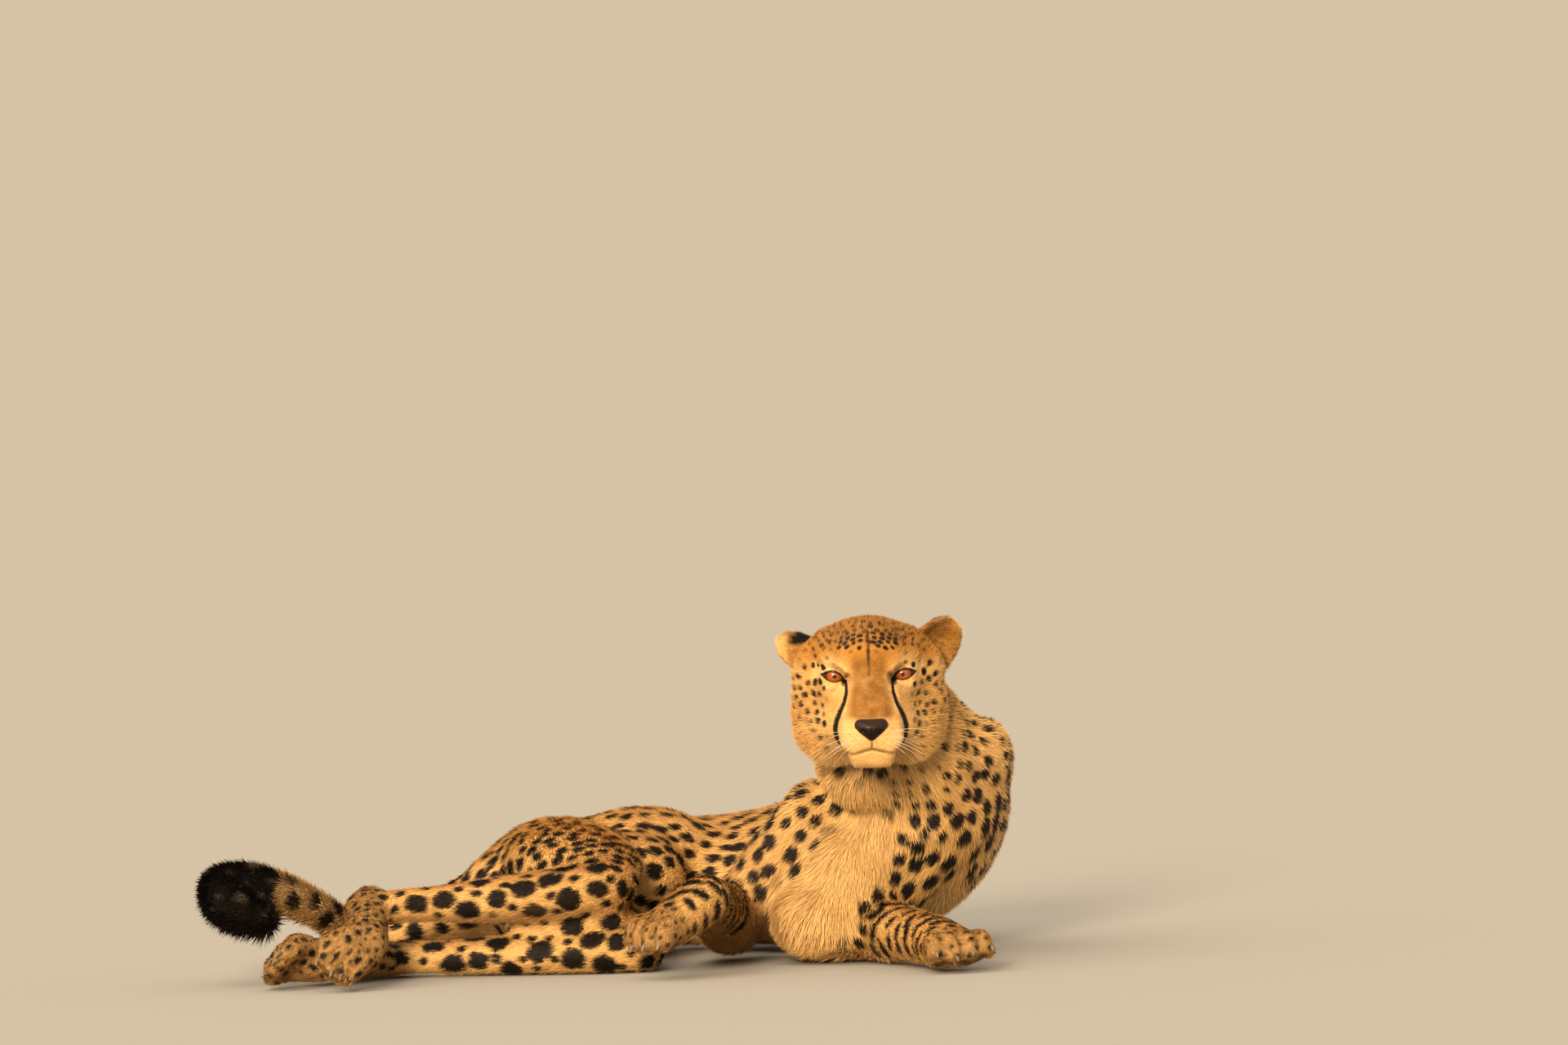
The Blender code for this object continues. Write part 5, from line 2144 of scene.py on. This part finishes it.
@dataclass
class NosePad:
    """The bare black nose: broad above, narrow below, with two comma-shaped nostrils."""

    head: Head
    middle: Three = (0.0, -0.0430, 0.0682)
    half: Three = (0.0178, 0.0134, 0.0125)
    nostril_depth: float = 0.0032
    groove_depth: float = 0.0010

    LEATHER, DARK = paint(38, 23, 13), paint(5, 3, 2)
    # A nostril's round hole and its tail: middle and size of each, sideways and up.
    HOLE = ((0.0082, -0.0016), (0.0028, 0.0020))
    TAIL = ((0.0122, -0.0004), (0.0026, 0.0013))

    def build(self, finish: Material) -> None:
        """Builds the nose in place of the frame's.

        Args:
            finish: its material.
        """
        built = bmesh.new()
        bmesh.ops.create_uvsphere(built, u_segments=96, v_segments=64, radius=1.0)
        points = np.array([tuple(vert.co) for vert in built.verts])
        side, deep, up = points[:, 0], -points[:, 1], points[:, 2]
        half_width, half_height, half_depth = self.half
        taper = 0.50 + 0.50 * ease(-1.0, 0.35, up)
        top = ease(0.1, 0.9, up)
        square = (1.04 - np.clip(up, 0, 1) ** 2) ** -0.34
        wide = side * half_width * taper * square
        wing = np.exp(-((np.abs(side) - 0.72) ** 2) / 0.05 - (up - 0.05) ** 2 / 0.18)
        out = deep * half_depth * (1 - 0.10 * top) + 0.0010 * wing * (deep > 0)
        high = up * half_height * (1 - 0.22 * top) - 0.0012 * ease(0.5, 0.0, np.abs(side)) * top
        flat = np.stack([np.abs(wide), high], 1)
        nostril = np.maximum(swell(flat, *self.HOLE), 0.8 * swell(flat, *self.TAIL))
        groove = np.exp(-((wide / 0.0010) ** 2)) * ease(0.3, -0.2, up)
        out = out - (deep > 0.1) * (self.nostril_depth * nostril + self.groove_depth * groove)
        local = np.stack([wide, high, out], 1) + np.array(self.middle)
        placed = self.head.world(local)
        for vert, place in zip(built.verts, placed):
            vert.co = place
        bmesh.ops.recalc_face_normals(built, faces=built.faces)
        mesh = bpy.data.meshes.new("nose_leather")
        built.to_mesh(mesh)
        built.free()
        mesh.shade_smooth()
        # Painted shade: the leather is darkened in the nostrils, in the middle groove and towards the
        # bottom, so the top is left lighter as though lit from above.
        shade = nostril + 0.7 * groove + 0.75 * ease(0.35, -0.25, up)
        tint = layered(np.tile(self.LEATHER, (len(points), 1)), ((self.DARK, shade),))
        store(mesh, "tint", opaque(tint))
        piece = dress(stand("nose_leather", mesh), finish)
        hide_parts("nose")
        LOG.info("nose_leather: %d faces", len(mesh.polygons))


@dataclass
class Whiskers:
    """Stiff pale hairs in rows on both sides of the muzzle."""

    head: Head
    tree: BVHTree
    rows: int = 3
    in_row: int = 3
    length: float = 0.040
    thickness: float = 0.00020
    droop: float = 0.24
    steps: int = 9

    def build(self, finish: Material) -> None:
        """Builds all the whiskers as one piece.

        Args:
            finish: their material.
        """
        random = np.random.default_rng(SEED + 7)
        shapes = []
        for sign, row, number in product((1, -1), range(self.rows), range(self.in_row)):
            side, up = sign * (0.016 + 0.0042 * number), -0.047 - 0.0052 * row
            start = np.array([side, up, 0.12])
            origin = self.head.world(start)
            hit = self.tree.ray_cast(Vector(origin), Vector(-self.head.axes[2]))[0]
            if hit is None:
                continue
            out = np.array([sign * (0.9 + 0.1 * number), 0.05 - 0.22 * row, 0.35 - 0.16 * number])
            out = unit(out + random.normal(0, 0.07, 3)) @ self.head.axes
            share = np.linspace(0, 1, self.steps)[:, None]
            length = self.length * random.uniform(0.65, 1.1) * (0.75 + 0.1 * number)
            droop = np.array([0, 0, -1.0]) * self.droop * length
            path = np.array(hit) + out * length * share + droop * share**2
            path[0] -= out * 0.002
            radii = self.thickness * np.linspace(1.0, 0.2, self.steps)
            shapes.append(sweep(path, radii, 5))
        dress(stand("whiskers", closed_mesh("whiskers", *pooled(shapes))), finish)
        LOG.info("whiskers: %d", len(shapes))


@dataclass
class Claws:
    """The blunt claws at the tips of the toes."""

    length: float = 0.0090
    radius: float = 0.0021
    set_back: float = 0.0065
    hook: float = 0.42
    clearance: float = 0.0003
    steps: int = 8

    def build(self, finish: Material) -> None:
        """Builds all the claws as one piece.

        Args:
            finish: their material.
        """
        shapes = []
        for limb, paw in PAWS:
            tips, onward, _ = toes_of(limb, paw)
            down = np.array([0.0, 0.0, -1.0])
            down = unit(down - onward * (down @ onward) + 1e-6)
            for tip in tips:
                share = np.linspace(0, 1, self.steps)[:, None]
                start = tip - onward * self.set_back
                path = start + onward * self.length * share
                path = path + down * self.length * self.hook * share**2
                path[:, 2] = np.maximum(path[:, 2], self.radius + self.clearance)
                radii = self.radius * np.sqrt(1 - 0.92 * share[:, 0] ** 1.6)
                shapes.append(sweep(path, radii, 10))
        dress(stand("claws", closed_mesh("claws", *pooled(shapes))), finish)
        LOG.info("claws: %d", len(shapes))


# ------------ the whole
@dataclass
class Cheetah:
    """Builds the animal from the skin out."""

    head: Head = field(default_factory=Head)

    def unwrap(self, piece: Object) -> Array:
        """Lays the skin out flat.

        Args:
            piece: the skin.

        Returns:
            The places on the map of each triangle's corners.
        """
        bpy.context.view_layer.objects.active = piece
        piece.select_set(True)
        piece.data.uv_layers.new(name="OFBake")
        bpy.ops.object.mode_set(mode="EDIT")
        bpy.ops.mesh.select_all(action="SELECT")
        bpy.ops.uv.smart_project(angle_limit=math.radians(66), island_margin=0.002)
        bpy.ops.object.mode_set(mode="OBJECT")
        piece.select_set(False)
        layer = piece.data.uv_layers["OFBake"]
        found = np.empty(len(piece.data.loops) * 2)
        layer.uv.foreach_get("vector", found)
        return found.reshape(-1, 3, 2)

    def build(self) -> None:
        """Builds the skin, the coat and the pieces of the face and the feet."""
        hide, fur = HideFinish().make(), FurFinish().make()
        surface = Skin(self.head).build()
        LOG.info("skin: %d triangles", len(surface.triangles))
        flow = Lie(self.head).along(surface)
        markings = Markings(self.head, surface, flow)
        LOG.info("spots: %d", len(markings.spots))
        mesh = mesh_of("skin", surface.points, surface.triangles)
        tint = markings.colour(surface.points, surface.values, surface.normals())
        store(mesh, "tint", opaque(tint))
        skin = stand("skin", mesh)
        skin_map = self.unwrap(skin)
        LOG.info("skin laid out flat")
        dress(skin, hide)
        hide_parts(*FLESH, *EARS)
        Coat(self.head, surface, flow, markings, skin_map, fur).build()
        wet = WetFinish("wet_eye", 0.3, 0.65).make()
        lid = WetFinish("lid_edge", 0.35, 0.4).make()
        for name, sign in EYES:
            Eye(name, sign).build(wet, lid)
        NosePad(self.head).build(WetFinish("nose_skin", 0.5, 0.12, 0.0011, 0.0003).make())
        tree = BVHTree.FromPolygons(surface.points.tolist(), surface.triangles.tolist())
        pale = HornFinish("whisker_hair", (0.55, 0.48, 0.36), (0.85, 0.80, 0.70), 0.4)
        Whiskers(self.head, tree).build(pale.make())
        horn = HornFinish("claw_horn", (0.07, 0.045, 0.025), (0.26, 0.19, 0.12), 0.35)
        Claws().build(horn.make())


@dataclass(frozen=True)
class Lamp:
    """A soft far-off lamp that shines evenly from one side.

    Attributes:
        name: the lamp's name.
        place: the side it shines from, on a line through the origin.
        spread: how wide it looks from the origin, in degrees.
        power: its strength.
        tone: its colour.
    """

    name: str
    place: Three
    spread: float
    power: float
    tone: Three

    def build(self) -> None:
        """Hangs the lamp and aims it."""
        light = bpy.data.lights.new(self.name, "SUN")
        light.angle = math.radians(self.spread)
        light.energy = self.power
        light.color = self.tone
        made = bpy.data.objects.new(self.name, light)
        made.location = self.place
        aim = -Vector(self.place)
        made.rotation_euler = aim.to_track_quat("-Z", "Y").to_euler()
        bpy.context.scene.collection.objects.link(made)


@dataclass
class Studio:
    """The floor, the light and the camera. Lengths are in metres."""

    middle: Three = (0.1935, -0.0833, 0.458)
    width: float = 1.613
    distance: float = 22.0
    height: float = math.radians(3.0)
    lean: float = math.radians(2.0)
    sensor: float = 36.0
    reach: float = 400.0
    floor_half: float = 150.0
    floor_tone: tuple[float, float, float, float] = (0.36, 0.34, 0.31, 1)
    room_tone: tuple[float, float, float, float] = (0.80, 0.70, 0.57, 1)
    room_power: float = 1.05
    lamps: tuple[Lamp, ...] = (
        Lamp("key", (-1.1, -5.0, 1.6), 13.0, 4.7, (1.0, 0.79, 0.54)),
        Lamp("fill", (-2.4, -2.4, 4.0), 60.0, 2.3, (1.0, 0.84, 0.62)),
    )

    def floor(self) -> None:
        """A wide pale floor."""
        mesh = bpy.data.meshes.new("floor")
        half = self.floor_half
        mesh.from_pydata([(-half, -half, 0), (half, -half, 0), (half, half, 0), (-half, half, 0)],
                         [], [(0, 1, 2, 3)])
        made = stand("floor", mesh)
        maker = Maker("floor_paint")
        maker.fix(Base_Color=self.floor_tone, Roughness=0.9, Specular_IOR_Level=0.1)
        mesh.materials.append(maker.material)

    def camera(self) -> None:
        """The camera: far off, low, and leaning a little."""
        up = np.array([0.0, math.sin(self.height), math.cos(self.height)])
        right = np.array([1.0, 0.0, 0.0])
        lean_right = right * math.cos(self.lean) - up * math.sin(self.lean)
        lean_up = right * math.sin(self.lean) + up * math.cos(self.lean)
        back = np.cross(lean_right, lean_up)
        lens = bpy.data.cameras.new("camera")
        lens.sensor_width = self.sensor
        lens.lens = self.sensor * self.distance / self.width
        lens.clip_end = self.reach
        made = bpy.data.objects.new("camera", lens)
        place = np.array(self.middle) + back * self.distance
        matrix = Matrix.Identity(4)
        for column, vector in enumerate((lean_right, lean_up, back, place)):
            for row in range(3):
                matrix[row][column] = vector[row]
        made.matrix_world = matrix
        bpy.context.scene.collection.objects.link(made)
        bpy.context.scene.camera = made

    def build(self) -> None:
        """Sets up the room."""
        self.floor()
        world = bpy.data.worlds.new("room")
        world.use_nodes = True
        shade = world.node_tree.nodes["Background"]
        shade.inputs["Color"].default_value = self.room_tone
        shade.inputs["Strength"].default_value = self.room_power
        bpy.context.scene.world = world
        bpy.context.scene.view_settings.view_transform = "Standard"
        for lamp in self.lamps:
            lamp.build()
        self.camera()
        LOG.info("studio ready")


def main() -> None:
    """Builds the room and the animal, and notes their sizes."""
    logging.basicConfig(level=logging.INFO, format="%(relativeCreated)7d %(message)s")
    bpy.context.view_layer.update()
    Studio().build()
    Cheetah().build()


if __name__ == "__main__":
    main()
